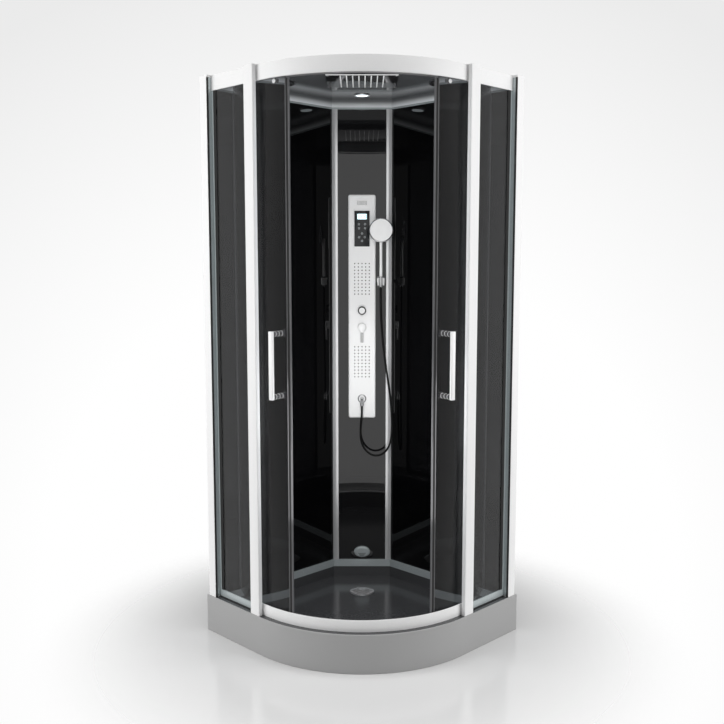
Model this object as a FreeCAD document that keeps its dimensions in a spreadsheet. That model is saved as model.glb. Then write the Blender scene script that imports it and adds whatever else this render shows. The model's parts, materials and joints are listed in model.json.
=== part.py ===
import FreeCAD, Part
import math
import os
import re

import Sketcher

# Quadrant steam shower cabin for a room corner, in millimetres. +Z is up and the origin is the middle
# of the 900 x 900 base on the floor. The two wall sides are x = -side/2 and y = +side/2, and the
# rounded front faces +X -Y. The cabin is symmetric about the upright plane y = -x, so most pieces are
# made on the +X side and mirrored. Three frames are used:
#   room      the cabin's own frame
#   diagonal  turned 45 degrees about Z: x runs across the cabin, y runs back into the wall corner
#   spoke     centred on the arc of the front: x is the radius, z is up, and the piece is then turned

SIZES = [
    # whole cabin
    ("side", 900, "width and depth of the base"),
    ("straight", 350, "straight part of each open side"),
    ("frame_height", 2220, "floor to the top of the frame"),
    ("tray_height", 150, "floor to the tray rim"),
    ("ledge_height", 105, "floor to the ledge that carries the walls"),
    ("basin_floor", 60, "floor to the standing surface"),
    ("skin", 5, "acrylic wall of the tray and the roof"),
    ("apron_wall", 5, "thickness of the front apron"),
    ("rim_width", 70, "width of the tray rim, apron included"),
    ("ledge_width", 26, "width of the wall ledge"),
    # walls and column
    ("pane_setback", 14, "wall side of the base to the back of the wall panes"),
    ("pane", 5, "thickness of the black wall panes"),
    ("rail_height", 32, "height of the wall rails"),
    ("rail_proud", 7, "how far the wall rails stand before the panes"),
    ("rail_back", 4, "how far the wall rails stand behind the panes"),
    ("top_rail_height", 7, "height of the rails on the panes"),
    ("cornice", 34, "height of the roof's hanging edge"),
    ("bead_width", 24, "width of a column bead over the column pane"),
    ("bead_proud", 8, "how far the column beads stand before the pane"),
    ("bead_gap", 5.226, "hand shower cradle to the column bead, sideways"),
    ("cutout_width", 96, "service cut-out in the column pane"),
    # open sides
    ("proud", 4, "apron face to the faces of the posts"),
    ("header_setback", 25, "apron face to the faces of the headers"),
    ("header_height", 58, "height of the headers"),
    ("fascia_wall", 3, "thickness of the header fascia"),
    ("profile_depth", 24.5, "depth of the wall profiles"),
    ("profile_wall", 2, "wall of the posts and the wall profiles"),
    ("post_set", 14.5, "end of the curved front to a post"),
    ("post_width", 53, "width of the front posts"),
    ("post_depth", 16.5, "depth of the front posts"),
    ("channel_set", 20.5, "front edge of a post to its glazing channel"),
    ("channel_depth", 29, "face of a post to the back of its glazing channel"),
    ("cap_height", 9, "height of the caps on the wall profiles"),
    ("wall_profile_width", 43, "width of the wall profiles"),
    ("profile_lip", 8.5, "part of a wall profile that covers the edge of a pane"),
    ("stile_width", 11, "width of the side stiles"),
    ("side_rail_height", 28, "height of the side rails"),
    ("side_frame_depth", 8.5, "depth of the side headers, stiles and rails"),
    ("jamb", 2, "thickness of the jambs and gaskets on the wall profiles"),
    ("gasket_depth", 8.5, "depth of the gaskets at the face of the wall profiles"),
    ("sill_gasket", 5, "height of the gaskets under the side rails"),
    ("stile_lip", 17, "width of the glazing seal by a stile"),
    ("post_lip", 7.5, "width of the glazing seal by a post"),
    ("side_pane", 5, "thickness of the side panes"),
    # curved rail and track
    ("sill_height", 46, "height of the curved rail"),
    ("sill_wall", 4, "thickness of the curved rail's front"),
    ("sill_base", 5, "thickness of the curved rail's base"),
    ("guide_ridge", 13, "height of the ridge that the guides follow"),
    ("track_setback", 66, "apron face to the inside of the track and the curved rail"),
    ("track_wall", 3, "thickness of the track"),
    ("track_drop", 56, "top of the frame to the underside of the running ledge"),
    ("ledge_thick", 6, "thickness of the running ledge"),
    ("track_reach", 79, "half angle of the track, in degrees"),
    # doors
    ("door_gap", 7.5, "fascia to the door glass"),
    ("door_glass", 5, "thickness of the door glass"),
    ("door_bottom", 170, "floor to the lower edge of the door glass"),
    ("door_drop", 25, "top of the frame to the upper edge of the door glass"),
    ("door_span", 43.9, "angle that a door covers, in degrees"),
    ("door_open", 32.1, "angle of the open door's front glass edge, in degrees"),
    ("seal_span", 1.8, "angle of the front door seal, in degrees"),
    ("seal_thick", 9, "thickness of the door seals"),
    ("tail_span", 0.9, "angle of the rear door seal, in degrees"),
    ("wheel_radius", 11, "radius of a roller wheel"),
    ("wheel_width", 11, "width of a roller wheel"),
    ("axle_radius", 3, "radius of a roller axle"),
    ("bolt_radius", 5, "radius of the bolts through the glass"),
    ("cap_radius", 8.5, "radius of the hanger caps"),
    ("cap_drop", 68, "top of the frame to the lower hanger caps"),
    ("cap_thick", 3, "thickness of the hanger caps"),
    ("lead_hanger", 5.7, "front glass edge to the front hanger, in degrees"),
    ("tail_hanger", 38.2, "front glass edge to the rear hanger, in degrees"),
    ("handle_angle", 2.3, "front glass edge to the handle, in degrees"),
    ("handle_length", 250, "length of the handle bar"),
    ("handle_middle", 1135, "floor to the middle of the handle"),
    ("handle_reach", 66, "door glass to the middle of the handle bar"),
    ("bar_width", 18, "width of the handle bar"),
    ("bar_thick", 12, "thickness of the handle bar"),
    ("stem_radius", 9, "radius of the handle stems"),
    # waste
    ("drain_depth", 268, "cabin middle to the drain, towards the wall corner"),
    ("cover_radius", 54, "radius of the drain cover"),
    ("cover_rise", 12, "height of the drain cover's dome"),
    ("cup_radius", 43, "radius of the waste cup"),
    ("cup_bottom", 12, "floor to the underside of the waste cup"),
    ("waste_pipe", 16, "radius of the waste outlet"),
    ("waste_boss", 3, "how far the boss round the waste outlet stands out of the cup"),
    # support
    ("tube", 25, "side of the square frame tubes"),
    ("tube_wall", 2, "wall of the frame tubes"),
    ("foot_radius", 25, "radius of a foot"),
    ("foot_height", 6, "height of a foot's pad"),
    ("foot_gap", 12.26, "apron to the pad of the front corner foot"),
    # shower plate and its fittings
    ("plate_width", 122, "width of the shower plate"),
    ("plate_low", 804.5, "floor to the lower edge of the shower plate"),
    ("plate_margin", 25, "speaker grille to the upper edge of the shower plate"),
    ("plate_depth", 20, "depth of the shower plate"),
    ("plate_wall", 3, "wall of the shower plate"),
    ("plate_corner", 10, "corner radius of the shower plate"),
    ("control_width", 68, "width of the control unit"),
    ("control_length", 157, "length of the control unit"),
    ("control_rise", 75.1, "upper jets to the lower edge of the control unit"),
    ("speaker_rise", 22, "control unit to the speaker grille"),
    ("speaker_width", 48, "width of the speaker grille"),
    ("speaker_height", 24, "height of the speaker grille"),
    ("jet_pitch", 16.3, "distance between two jets across"),
    ("jet_rise", 15.1, "distance between two jets up"),
    ("jet_radius", 2.2, "radius of a jet"),
    ("outlet_rise", 88.5, "lower edge of the shower plate to the hose outlet"),
    ("lower_jets_rise", 100, "hose outlet to the lowest jet of the lower field"),
    ("mixer_rise", 88.1, "highest jet of the lower field to the mixer"),
    ("diverter_rise", 75, "mixer to the diverter"),
    ("upper_jets_rise", 73.5, "diverter to the lowest jet of the upper field"),
    ("knob_radius", 18.5, "radius of the diverter knob"),
    ("cap_disc", 19, "radius of the mixer cap"),
    ("lever_width", 12.6, "width of the mixer lever"),
    ("lever_length", 60, "mixer pivot to the tip of the lever"),
    ("stem", 8, "radius of the mixer stem"),
    ("fit", 0.05, "radial clearance of a shaft in its bore"),
    ("gap", 0.3, "clearance between moving faces"),
    # hand shower
    ("holder_gap", 4.8, "shower plate to the hand shower cradle, sideways"),
    ("holder_stand", 48, "column pane to the axis of the hand shower"),
    ("cradle_low", 1405, "floor to the underside of the cradle"),
    ("cradle_height", 33, "height of the cradle"),
    ("cradle_radius", 18, "radius of the cradle"),
    ("cone_length", 40, "length of the hose cone under its collar"),
    ("grip_radius", 7, "radius of the hand shower's grip"),
    ("head_radius", 53, "radius of the hand shower's head"),
    ("head_height", 1647, "floor to the middle of the head"),
    ("head_thick", 14, "thickness of the head"),
    ("hose", 9, "diameter of the shower hose"),
    # ceiling
    ("lamp_depth", 361, "cabin middle to the ceiling lamp"),
    ("lamp_radius", 35, "radius of the lamp's rim"),
    ("rain_width", 270, "width of the rain shower"),
    ("rain_length", 240, "length of the rain shower"),
    ("rain_middle", -56, "cabin middle to the middle of the rain shower"),
    ("rain_drop", 30, "top of the frame to the underside of the rain shower"),
    ("rain_thick", 8, "thickness of the rain shower"),
    ("strip_pitch", 23, "distance between two nozzle strips"),
    ("vent_side", 325, "middle of the cabin to each ceiling vent"),
    ("vent_depth", 88, "cabin middle to the ceiling vents, backwards"),
    ("vent_radius", 60, "radius of a ceiling vent"),
    ("fan_side", 120, "side of the fan housing"),
    ("fan_height", 28, "height of the fan housing"),
    # steam
    ("outlet_wide", 37.5, "half width of the steam outlet"),
    ("outlet_tall", 25, "half height of the steam outlet"),
    ("steam_height", 174.5, "floor to the steam outlet"),
    ("steam_pipe", 8, "radius of the steam pipe"),
    ("generator_width", 90, "width of the steam generator"),
    ("generator_depth", 60, "depth of the steam generator"),
    ("generator_low", 260, "floor to the underside of the steam generator"),
    ("generator_height", 340, "height of the steam generator"),
]

# Sizes that follow from those above
DERIVED = [
    ("track_inner", "side - straight - track_setback", "inner radius of the track and the curved rail"),
    ("door_top", "frame_height - door_drop", "floor to the upper edge of the door glass"),
    ("lower_cap", "frame_height - cap_drop", "floor to the lower hanger caps"),
    ("rain_low", "frame_height - rain_drop", "floor to the underside of the rain shower"),
    ("outlet_height", "plate_low + outlet_rise", "floor to the hose outlet"),
    ("lower_jets", "outlet_height + lower_jets_rise", "floor to the lowest jet of the lower field"),
    ("mixer_height", "lower_jets + 9 * jet_rise + mixer_rise", "floor to the mixer"),
    ("diverter_height", "mixer_height + diverter_rise", "floor to the diverter"),
    ("upper_jets", "diverter_height + upper_jets_rise", "floor to the lowest jet of the upper field"),
    (
        "control_low",
        "upper_jets + 9 * jet_rise + control_rise",
        "floor to the lower edge of the control unit",
    ),
    ("control_middle", "control_low + control_length / 2", "floor to the middle of the control unit"),
    ("speaker_low", "control_low + control_length + speaker_rise", "floor to the lower edge of the speaker"),
    ("speaker_middle", "speaker_low + speaker_height / 2", "floor to the middle of the speaker"),
    (
        "plate_length",
        "speaker_low + speaker_height + plate_margin - plate_low",
        "length of the shower plate",
    ),
    ("holder_side", "plate_width / 2 + holder_gap + cradle_radius", "middle of the cabin to the hand shower"),
    (
        "column_half",
        "holder_side + cradle_radius + bead_gap + bead_width",
        "half width of the column with its beads",
    ),
    (
        "column_depth",
        "(side / 2 - pane_setback - pane) * sqrt(2) - 0.5 - column_half",
        "cabin middle to the face of the column pane",
    ),
]

doc = FreeCAD.newDocument("SteamShowerCabin")
sheet = doc.addObject("Spreadsheet::Sheet", "Sheet")
for row, (alias, number, meaning) in enumerate(SIZES, start=1):
    sheet.set(f"A{row}", alias)
    sheet.set(f"B{row}", str(number))
    sheet.set(f"C{row}", meaning)
    sheet.setAlias(f"B{row}", alias)
for row, (alias, rule, meaning) in enumerate(DERIVED, start=len(SIZES) + 1):
    sheet.set(f"A{row}", alias)
    sheet.set(f"B{row}", f"={rule}")
    sheet.set(f"C{row}", meaning)
    sheet.setAlias(f"B{row}", alias)
doc.recompute()

WORD = re.compile(r"\b(" + "|".join(alias for alias, _, _ in SIZES + DERIVED) + r")\b")
X_AXIS = FreeCAD.Vector(1, 0, 0)
Y_AXIS = FreeCAD.Vector(0, 1, 0)
Z_AXIS = FreeCAD.Vector(0, 0, 1)

# Formulas that several pieces share, in the sheet's words
HALF = "(side / 2)"
RADIUS = "(side - straight)"
CENTRE_X = "(straight - side / 2)"
CENTRE_Y = "(side / 2 - straight)"
CEILING = "(frame_height - skin)"
PANE_FACE = f"({HALF} - pane_setback - pane)"
PANE_BACK = f"({HALF} - pane_setback)"
PANE_LOW = "(ledge_height + rail_height)"
PANE_TOP = f"({CEILING} - cornice - top_rail_height)"
HEADER_OUT = f"({HALF} - header_setback)"
HEADER_LOW = "(frame_height - header_height)"
FASCIA = f"({RADIUS} - header_setback)"
FASCIA_IN = f"({FASCIA} - fascia_wall)"
ROOF_EDGE = f"({FASCIA_IN} - 1)"
DOOR_OUT = f"({FASCIA_IN} - door_gap)"
DOOR_IN = f"({DOOR_OUT} - door_glass)"
POST_OUT = f"({HALF} - proud)"
WALL_PROFILE = f"({PANE_FACE} - 0.5 - (wall_profile_width - profile_lip))"
RUN_LOW = "(frame_height - track_drop)"
RUN_TOP = f"({RUN_LOW} + ledge_thick)"
WHEEL_HEIGHT = f"({RUN_TOP} + wheel_radius + gap)"
PLATE_FACE = "(column_depth - plate_depth)"
HOLDER_DEPTH = "(column_depth - holder_stand)"
TRACK_WEB = f"({FASCIA_IN} - 5)"


def formula(text):
    """The formula with every size written as a cell of the sheet."""
    return WORD.sub(r"Sheet.\1", str(text))


def value(text):
    """The number that a formula gives."""
    return float(sheet.evalExpression(formula(text)))


def bind(thing, **formulas):
    """Ties properties to formulas; a double underscore stands for the dot of a longer path."""
    for path, text in formulas.items():
        thing.setExpression(path.replace("__", "."), formula(text))


def put(thing, at):
    """Ties the place of a piece to three formulas."""
    for axis, text in zip("xyz", at):
        thing.setExpression(f"Placement.Base.{axis}", formula(text))


def block(name, size, at):
    """A box from its lowest corner."""
    box = doc.addObject("Part::Box", name)
    bind(box, Length=size[0], Width=size[1], Height=size[2])
    put(box, at)
    return box


TURNS = {
    "up": FreeCAD.Rotation(),
    "out": FreeCAD.Rotation(Y_AXIS, 90),
    "front": FreeCAD.Rotation(X_AXIS, 90),
    "back": FreeCAD.Rotation(X_AXIS, -90),
}


def rod(name, radius, length, at, along="up"):
    """A cylinder from the middle of its first face, along +Z, +X (out), -Y (front) or +Y (back)."""
    cylinder = doc.addObject("Part::Cylinder", name)
    cylinder.Placement = FreeCAD.Placement(FreeCAD.Vector(), TURNS[along])
    bind(cylinder, Radius=radius, Height=length)
    put(cylinder, at)
    return cylinder


def cone(name, low_radius, top_radius, length, at):
    """An upright cone from the middle of its lower face."""
    shape = doc.addObject("Part::Cone", name)
    bind(shape, Radius1=low_radius, Radius2=top_radius, Height=length)
    put(shape, at)
    return shape


def cut(name, base, tools):
    """The base without the tools."""
    tool = tools[0] if len(tools) == 1 else fuse(name + "_tools", tools)
    result = doc.addObject("Part::Cut", name)
    result.Base = base
    result.Tool = tool
    return result


def fuse(name, parts):
    """One solid out of parts that touch or overlap."""
    result = doc.addObject("Part::MultiFuse", name)
    result.Shapes = parts
    result.Refine = True
    return result


def group(name, parts):
    """Separate solids kept together under one name."""
    result = doc.addObject("Part::Compound", name)
    result.Links = parts
    return result


def mirrored(name, source):
    """The same piece on the other side of the cabin."""
    result = doc.addObject("Part::Mirroring", name)
    result.Source = source
    result.Base = FreeCAD.Vector()
    result.Normal = FreeCAD.Vector(1, 1, 0)
    return result


def diagonal(thing):
    """Turns a piece made in the diagonal frame into the room frame."""
    thing.Placement = FreeCAD.Placement(FreeCAD.Vector(), FreeCAD.Rotation(Z_AXIS, 45))
    return thing


def spoke(thing, angle):
    """Puts a piece made in the spoke frame at an angle about the centre of the front's arc."""
    thing.Placement = FreeCAD.Placement(FreeCAD.Vector(), FreeCAD.Rotation(Z_AXIS, 1))
    thing.setExpression("Placement.Rotation.Angle", formula(f"({angle}) * 1 deg"))
    put(thing, (CENTRE_X, CENTRE_Y, "0"))
    return thing


def sector(name, outer, inner, low, height, start, span):
    """A piece of an upright ring, in the spoke frame before it is turned."""
    disc = rod(name + "_disc", outer, height, ("0", "0", low))
    bind(disc, Angle=span)
    hole = rod(name + "_hole", inner, height, ("0", "0", low))
    ring = cut(name, disc, [hole])
    return spoke(ring, start) if start is not None else ring


def sketch_on(body, name, plane, offset):
    """An empty sketch on one of the body's own planes, moved along the plane's normal."""
    sketch = body.newObject("Sketcher::SketchObject", name)
    face = next(f for f in body.Origin.OriginFeatures if f.Role == plane)
    sketch.AttachmentSupport = (face, [""])
    sketch.MapMode = "FlatFace"
    sketch.setExpression("AttachmentOffset.Base.z", formula(offset))
    return sketch


def tie(sketch, kind, element, point, text):
    """A coordinate or radius of a sketch tied to a formula."""
    number = value(text)
    if kind == "Radius":
        index = sketch.addConstraint(Sketcher.Constraint(kind, element, number))
    else:
        index = sketch.addConstraint(Sketcher.Constraint(kind, element, point, number))
    name = f"tie{index}"
    sketch.renameConstraint(index, name)
    sketch.setExpression(f"Constraints.{name}", formula(text))


def polygon(sketch, points):
    """A closed outline of straight lines through points given as formulas."""
    first = sketch.GeometryCount
    spots = [FreeCAD.Vector(value(x), value(y), 0) for x, y in points]
    count = len(spots)
    for i in range(count):
        sketch.addGeometry(Part.LineSegment(spots[i], spots[(i + 1) % count]), False)
    for i in range(count):
        line, following = first + i, first + (i + 1) % count
        sketch.addConstraint(Sketcher.Constraint("Coincident", line, 2, following, 1))
        tie(sketch, "DistanceX", line, 1, points[i][0])
        tie(sketch, "DistanceY", line, 1, points[i][1])


def quarter(sketch, radius):
    """A quarter arc about the sketch's origin, from the -Y axis to the +X axis. Returns its number."""
    size = value(radius)
    circle = Part.Circle(FreeCAD.Vector(), Z_AXIS, size)
    arc = sketch.addGeometry(Part.ArcOfCircle(circle, -math.pi / 2, 0), False)
    sketch.addConstraint(Sketcher.Constraint("Coincident", arc, 3, -1, 1))
    sketch.addConstraint(Sketcher.Constraint("PointOnObject", arc, 1, -2))
    sketch.addConstraint(Sketcher.Constraint("PointOnObject", arc, 2, -1))
    tie(sketch, "Radius", arc, 0, radius)
    return arc


def lines_through(sketch, points, start, finish):
    """Straight lines from the end of one arc to the start of another, each level or upright
    unless the point has both of its coordinates given."""
    spots = [FreeCAD.Vector(value(x), value(y), 0) for x, y, _ in points]
    previous = start
    for i in range(len(spots) - 1):
        line = sketch.addGeometry(Part.LineSegment(spots[i], spots[i + 1]), False)
        sketch.addConstraint(Sketcher.Constraint("Coincident", line, 1, *previous))
        rule = points[i + 1][2]
        for word in rule.split():
            if word in ("Horizontal", "Vertical"):
                sketch.addConstraint(Sketcher.Constraint(word, line))
            else:
                text = points[i + 1][0 if word == "x" else 1]
                kind = "DistanceX" if word == "x" else "DistanceY"
                tie(sketch, kind, line, 2, text)
        previous = (line, 2)
    sketch.addConstraint(Sketcher.Constraint("Coincident", *previous, *finish))


def quadrant(sketch, front, back, chamfer=None):
    """The cabin's plan about its arc centre: rounded at the front, square or chamfered at the back."""
    arc = quarter(sketch, front)
    corner = [(f"-({back})", back, "Horizontal x")]
    if chamfer:
        corner = [
            (f"({back}) - ({chamfer})", back, "Horizontal x"),
            (f"-({back})", f"({chamfer}) - ({back})", "x y"),
        ]
    points = [
        (front, "0", ""),
        (front, back, "Vertical y"),
        *corner,
        (f"-({back})", f"-({front})", "Vertical"),
        ("0", f"-({front})", "Horizontal"),
    ]
    lines_through(sketch, points, (arc, 2), (arc, 1))


def strip(sketch, outer, inner, end):
    """A band along the open front: a quarter ring with a straight end each side."""
    outer_arc = quarter(sketch, outer)
    inner_arc = quarter(sketch, inner)
    side_end = [
        (outer, "0", ""),
        (outer, end, "Vertical y"),
        (inner, end, "Horizontal"),
        (inner, "0", "Vertical"),
    ]
    front_end = [
        ("0", f"-({outer})", ""),
        (f"-({end})", f"-({outer})", "Horizontal x"),
        (f"-({end})", f"-({inner})", "Vertical"),
        ("0", f"-({inner})", "Horizontal"),
    ]
    lines_through(sketch, side_end, (outer_arc, 2), (inner_arc, 2))
    lines_through(sketch, front_end, (outer_arc, 1), (inner_arc, 1))


def circle_in(sketch, radius, across, up):
    """A circle at a place given by two formulas."""
    spot = FreeCAD.Vector(value(across), value(up), 0)
    ring = sketch.addGeometry(Part.Circle(spot, Z_AXIS, value(radius)), False)
    tie(sketch, "Radius", ring, 0, radius)
    tie(sketch, "DistanceX", ring, 3, across)
    tie(sketch, "DistanceY", ring, 3, up)


def pad(body, sketch, length):
    """Material from the sketch along its normal."""
    feature = body.newObject("PartDesign::Pad", sketch.Name + "_pad")
    feature.Profile = sketch
    bind(feature, Length=length)
    return feature


def pocket(body, sketch, length):
    """A recess from the sketch against its normal, so a sketch's recess lies behind it."""
    feature = body.newObject("PartDesign::Pocket", sketch.Name + "_pocket")
    feature.Profile = sketch
    bind(feature, Length=length)
    return feature


def new_body(name):
    return doc.addObject("PartDesign::Body", name)


def at_arc_centre(body):
    """A body whose sketches are drawn about the centre of the front's arc."""
    put(body, (CENTRE_X, CENTRE_Y, "0"))
    return body


# ---------------------------------------------------------------- tray, apron and support


def make_tray():
    """An acrylic tray: a deep basin, a rim at the open sides and a lower ledge under the walls."""
    body = at_arc_centre(new_body("tray"))
    outer = f"({RADIUS} - apron_wall)"
    basin = f"({RADIUS} - rim_width)"
    ledge = "(straight - ledge_width)"
    # The column's chamfer: y - x in the room frame, moved to the arc centre
    chamfer = f"((column_depth - rail_proud - 1) * sqrt(2) - 2 * {CENTRE_Y})"
    low = "(basin_floor - skin)"

    outline = sketch_on(body, "tray_outline", "XY_Plane", low)
    quadrant(outline, outer, "straight")
    pad(body, outline, f"tray_height - {low}")
    bowl = sketch_on(body, "tray_bowl", "XY_Plane", "tray_height")
    quadrant(bowl, basin, ledge, chamfer)
    pocket(body, bowl, "tray_height - basin_floor")

    shelf = sketch_on(body, "tray_ledge", "XY_Plane", "tray_height")
    polygon(
        shelf,
        [
            (outer, ledge),
            (outer, "straight"),
            ("-straight", "straight"),
            ("-straight", f"-{outer}"),
            (f"-{ledge}", f"-{outer}"),
            (f"-{ledge}", f"{chamfer} - {ledge}"),
            (f"{ledge} - {chamfer}", ledge),
        ],
    )
    pocket(body, shelf, "tray_height - ledge_height")

    under_rim = sketch_on(body, "tray_under_rim", "XY_Plane", low)
    strip(under_rim, f"{outer} - skin", f"{basin} + skin", f"{ledge} - skin")
    hollow = pocket(body, under_rim, f"tray_height - skin - {low}")
    hollow.Reversed = True
    under_ledge = sketch_on(body, "tray_under_ledge", "XY_Plane", low)
    polygon(
        under_ledge,
        [
            (f"{outer} - skin", f"{ledge} + skin"),
            (f"{outer} - skin", "straight - skin"),
            ("skin - straight", "straight - skin"),
            ("skin - straight", f"skin - {outer}"),
            (f"-{ledge} - skin", f"skin - {outer}"),
            (f"-{ledge} - skin", f"{chamfer} - {ledge} + 0.4142 * skin"),
            (f"{ledge} - {chamfer} - 0.4142 * skin", f"{ledge} + skin"),
        ],
    )
    hollow = pocket(body, under_ledge, f"ledge_height - skin - {low}")
    hollow.Reversed = True

    drain = sketch_on(body, "tray_drain", "XY_Plane", "tray_height")
    away = "drain_depth / sqrt(2)"
    circle_in(drain, "cup_radius + 0.5", f"-{away} - {CENTRE_X}", f"{away} - {CENTRE_Y}")
    pocket(body, drain, "tray_height")
    return body


def make_apron():
    """The skirt that closes the open sides of the tray down to the floor."""
    body = at_arc_centre(new_body("apron"))
    outline = sketch_on(body, "apron_outline", "XY_Plane", "0")
    strip(outline, RADIUS, f"{RADIUS} - apron_wall", "straight")
    pad(body, outline, "tray_height")
    return body


FRAME_LEFT = f"(-{HALF} + 30)"
FRAME_FAR = f"({HALF} - 120)"
FRAME_RIGHT = FRAME_FAR
# The front corner of the frame stands on the circle that its foot needs inside the apron
FOOT_CIRCLE = f"({RADIUS} - apron_wall - foot_gap - foot_radius)"
FRAME_NEAR = f"({CENTRE_Y} - sqrt({FOOT_CIRCLE} ^ 2 - ({FRAME_RIGHT} - {CENTRE_X}) ^ 2))"
FRAME_LOW = "(basin_floor - skin - tube)"


def make_support_frame():
    """A welded frame of square tubes right under the tray's floor."""
    half_tube = "tube / 2"
    long_tubes = [(FRAME_NEAR, f"{FRAME_RIGHT} + {half_tube}"), (FRAME_FAR, f"{HALF} - 30")]
    cross_tubes = [("0", f"50 - {HALF}"), (FRAME_RIGHT, f"{FRAME_NEAR} - {half_tube}")]
    shells, cores = [], []
    for number, (y, right) in enumerate(long_tubes):
        length = f"({right}) - {FRAME_LEFT}"
        shells.append(
            block(f"long{number}", (length, "tube", "tube"), (FRAME_LEFT, f"{y} - {half_tube}", FRAME_LOW))
        )
        bore = "tube - 2 * tube_wall"
        corner = (f"{FRAME_LEFT} + tube_wall", f"{y} - {half_tube} + tube_wall", f"{FRAME_LOW} + tube_wall")
        cores.append(block(f"long_core{number}", (f"{length} - 2 * tube_wall", bore, bore), corner))
    for number, (x, near) in enumerate(cross_tubes):
        length = f"{FRAME_FAR} + {half_tube} - ({near})"
        shells.append(
            block(f"cross{number}", ("tube", length, "tube"), (f"{x} - {half_tube}", near, FRAME_LOW))
        )
        corner = (f"{x} - {half_tube} + tube_wall", f"{near} + tube_wall", f"{FRAME_LOW} + tube_wall")
        cores.append(block(f"cross_core{number}", (bore, f"{length} - 2 * tube_wall", bore), corner))
    return cut("support_frame", fuse("frame_tubes", shells), cores)


def make_feet():
    """Six feet, each a round pad with a threaded stud and a lock nut under a frame tube."""
    places = [
        (f"{FRAME_LEFT} + 20", FRAME_NEAR),
        (FRAME_RIGHT, FRAME_NEAR),
        (f"{FRAME_LEFT} + 20", FRAME_FAR),
        (f"{HALF} - 50", FRAME_FAR),
        ("0", "0"),
        ("0", f"70 - {HALF}"),
    ]
    feet = []
    for number, (x, y) in enumerate(places):
        pad_disc = rod(f"foot_pad{number}", "foot_radius", "foot_height", (x, y, "0"))
        stud = rod(f"foot_stud{number}", "5", f"{FRAME_LOW} - foot_height", (x, y, "foot_height"))
        nut = rod(f"foot_nut{number}", "9", "8", (x, y, f"{FRAME_LOW} - 8"))
        feet.append(fuse(f"foot{number}", [pad_disc, stud, nut]))
    return group("levelling_feet", feet)


def make_waste():
    """The waste cup, clamped to the tray's floor between its flange and a ring, with a side outlet."""
    at = ("0", "drain_depth")
    flange = rod("waste_flange", "cup_radius + 9", "2", (*at, "basin_floor"))
    cup = rod("waste_cup", "cup_radius", "basin_floor - cup_bottom", (*at, "cup_bottom"))
    ring = rod("waste_ring", "cup_radius + 9", "5", (*at, "basin_floor - skin - 5"))
    level = "cup_bottom + waste_pipe + 2"
    spigot = rod("waste_spigot", "waste_pipe", "cup_radius + 45", (*at, level), "back")
    root = ("0", "drain_depth + cup_radius - 8", level)
    boss = rod("waste_boss_rod", "waste_pipe + 1.5", "waste_boss + 8", root, "back")
    # The outlet leaves towards the wall at -X, which lies 45 degrees from the diagonal
    outlet = doc.addObject("Part::Compound", "waste_outlet_turned")
    outlet.Links = [fuse("waste_outlet", [spigot, boss])]
    about = FreeCAD.Vector(0, value("drain_depth"), 0)
    outlet.Placement = FreeCAD.Placement(FreeCAD.Vector(), FreeCAD.Rotation(Z_AXIS, 45), about)
    outlet.setExpression("Placement.Base.x", formula("drain_depth * sqrt(2) / 2"))
    outlet.setExpression("Placement.Base.y", formula("drain_depth * (1 - sqrt(2) / 2)"))
    bowl = rod("waste_bowl", "cup_radius - 3", "basin_floor + 2 - cup_bottom - 3", (*at, "cup_bottom + 3"))
    return diagonal(cut("waste_trap", fuse("waste_body", [flange, cup, ring, outlet]), [bowl]))


def make_drain_cover():
    """A domed cap with a plug stem, which lifts straight out of the waste."""
    rise, radius = "cover_rise", "cover_radius"
    low = "(basin_floor + 2)"
    sphere = doc.addObject("Part::Sphere", "cover_ball")
    ball = f"(({radius}) ^ 2 + ({rise}) ^ 2) / (2 * {rise})"
    bind(sphere, Radius=ball)
    put(sphere, ("0", "drain_depth", f"{low} + {rise} - {ball}"))
    slab = rod("cover_slab", f"{radius} + 1", rise, ("0", "drain_depth", low))
    dome = doc.addObject("Part::MultiCommon", "cover_dome")
    dome.Shapes = [sphere, slab]
    stem = rod("cover_stem", "15", "30", ("0", "drain_depth", f"{low} - 29"))
    return diagonal(fuse("drain_cover", [dome, stem]))


# ---------------------------------------------------------------- walls and column


def three_sides(name, face, thick, low, height, end):
    """A band along both walls and across the column: its face, thickness and end are formulas.
    face is how far the band's front stands before the panes."""
    wall = f"({PANE_FACE} - ({face}))"
    depth = f"(column_depth - ({face}))"
    corner = f"({wall} - {depth} * sqrt(2))"
    right = block(
        name + "_right", (f"{end} - {corner}", thick, height), (corner, wall, low)
    )
    left = mirrored(name + "_left", right)
    reach = f"({wall} * sqrt(2) - {depth})"
    middle = block(
        name + "_across", (f"2 * {reach}", thick, height), (f"-{reach}", depth, low)
    )
    across = group(name + "_middle", [middle])
    return [right, left, diagonal(across)]


def make_wall_rails():
    thick = "rail_proud + pane + rail_back"
    end = f"({HALF} - apron_wall)"
    low = three_sides("low_rail", "rail_proud", thick, "ledge_height", "rail_height", end)
    bottom = group("bottom_rails", low)
    side_edge = f"({CENTRE_X} + {ROOF_EDGE})"
    high = three_sides("high_rail", "rail_proud - 2", f"{thick} - 2", PANE_TOP, "top_rail_height", side_edge)
    return bottom, group("top_rails", high)


def make_wall_panes():
    """Black glass from the rails up to the top rails, ending behind the wall profiles."""
    start = f"({PANE_FACE} - column_depth * sqrt(2) + 1)"
    end = f"({POST_OUT} - profile_wall - 2)"
    size = (f"{end} - {start}", "pane", f"{PANE_TOP} - {PANE_LOW}")
    right = block("wall_panel_right", size, (start, PANE_FACE, PANE_LOW))
    return right, mirrored("wall_panel_left", right)


COLUMN_HALF = f"({PANE_FACE} * sqrt(2) - column_depth - 0.5)"


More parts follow.
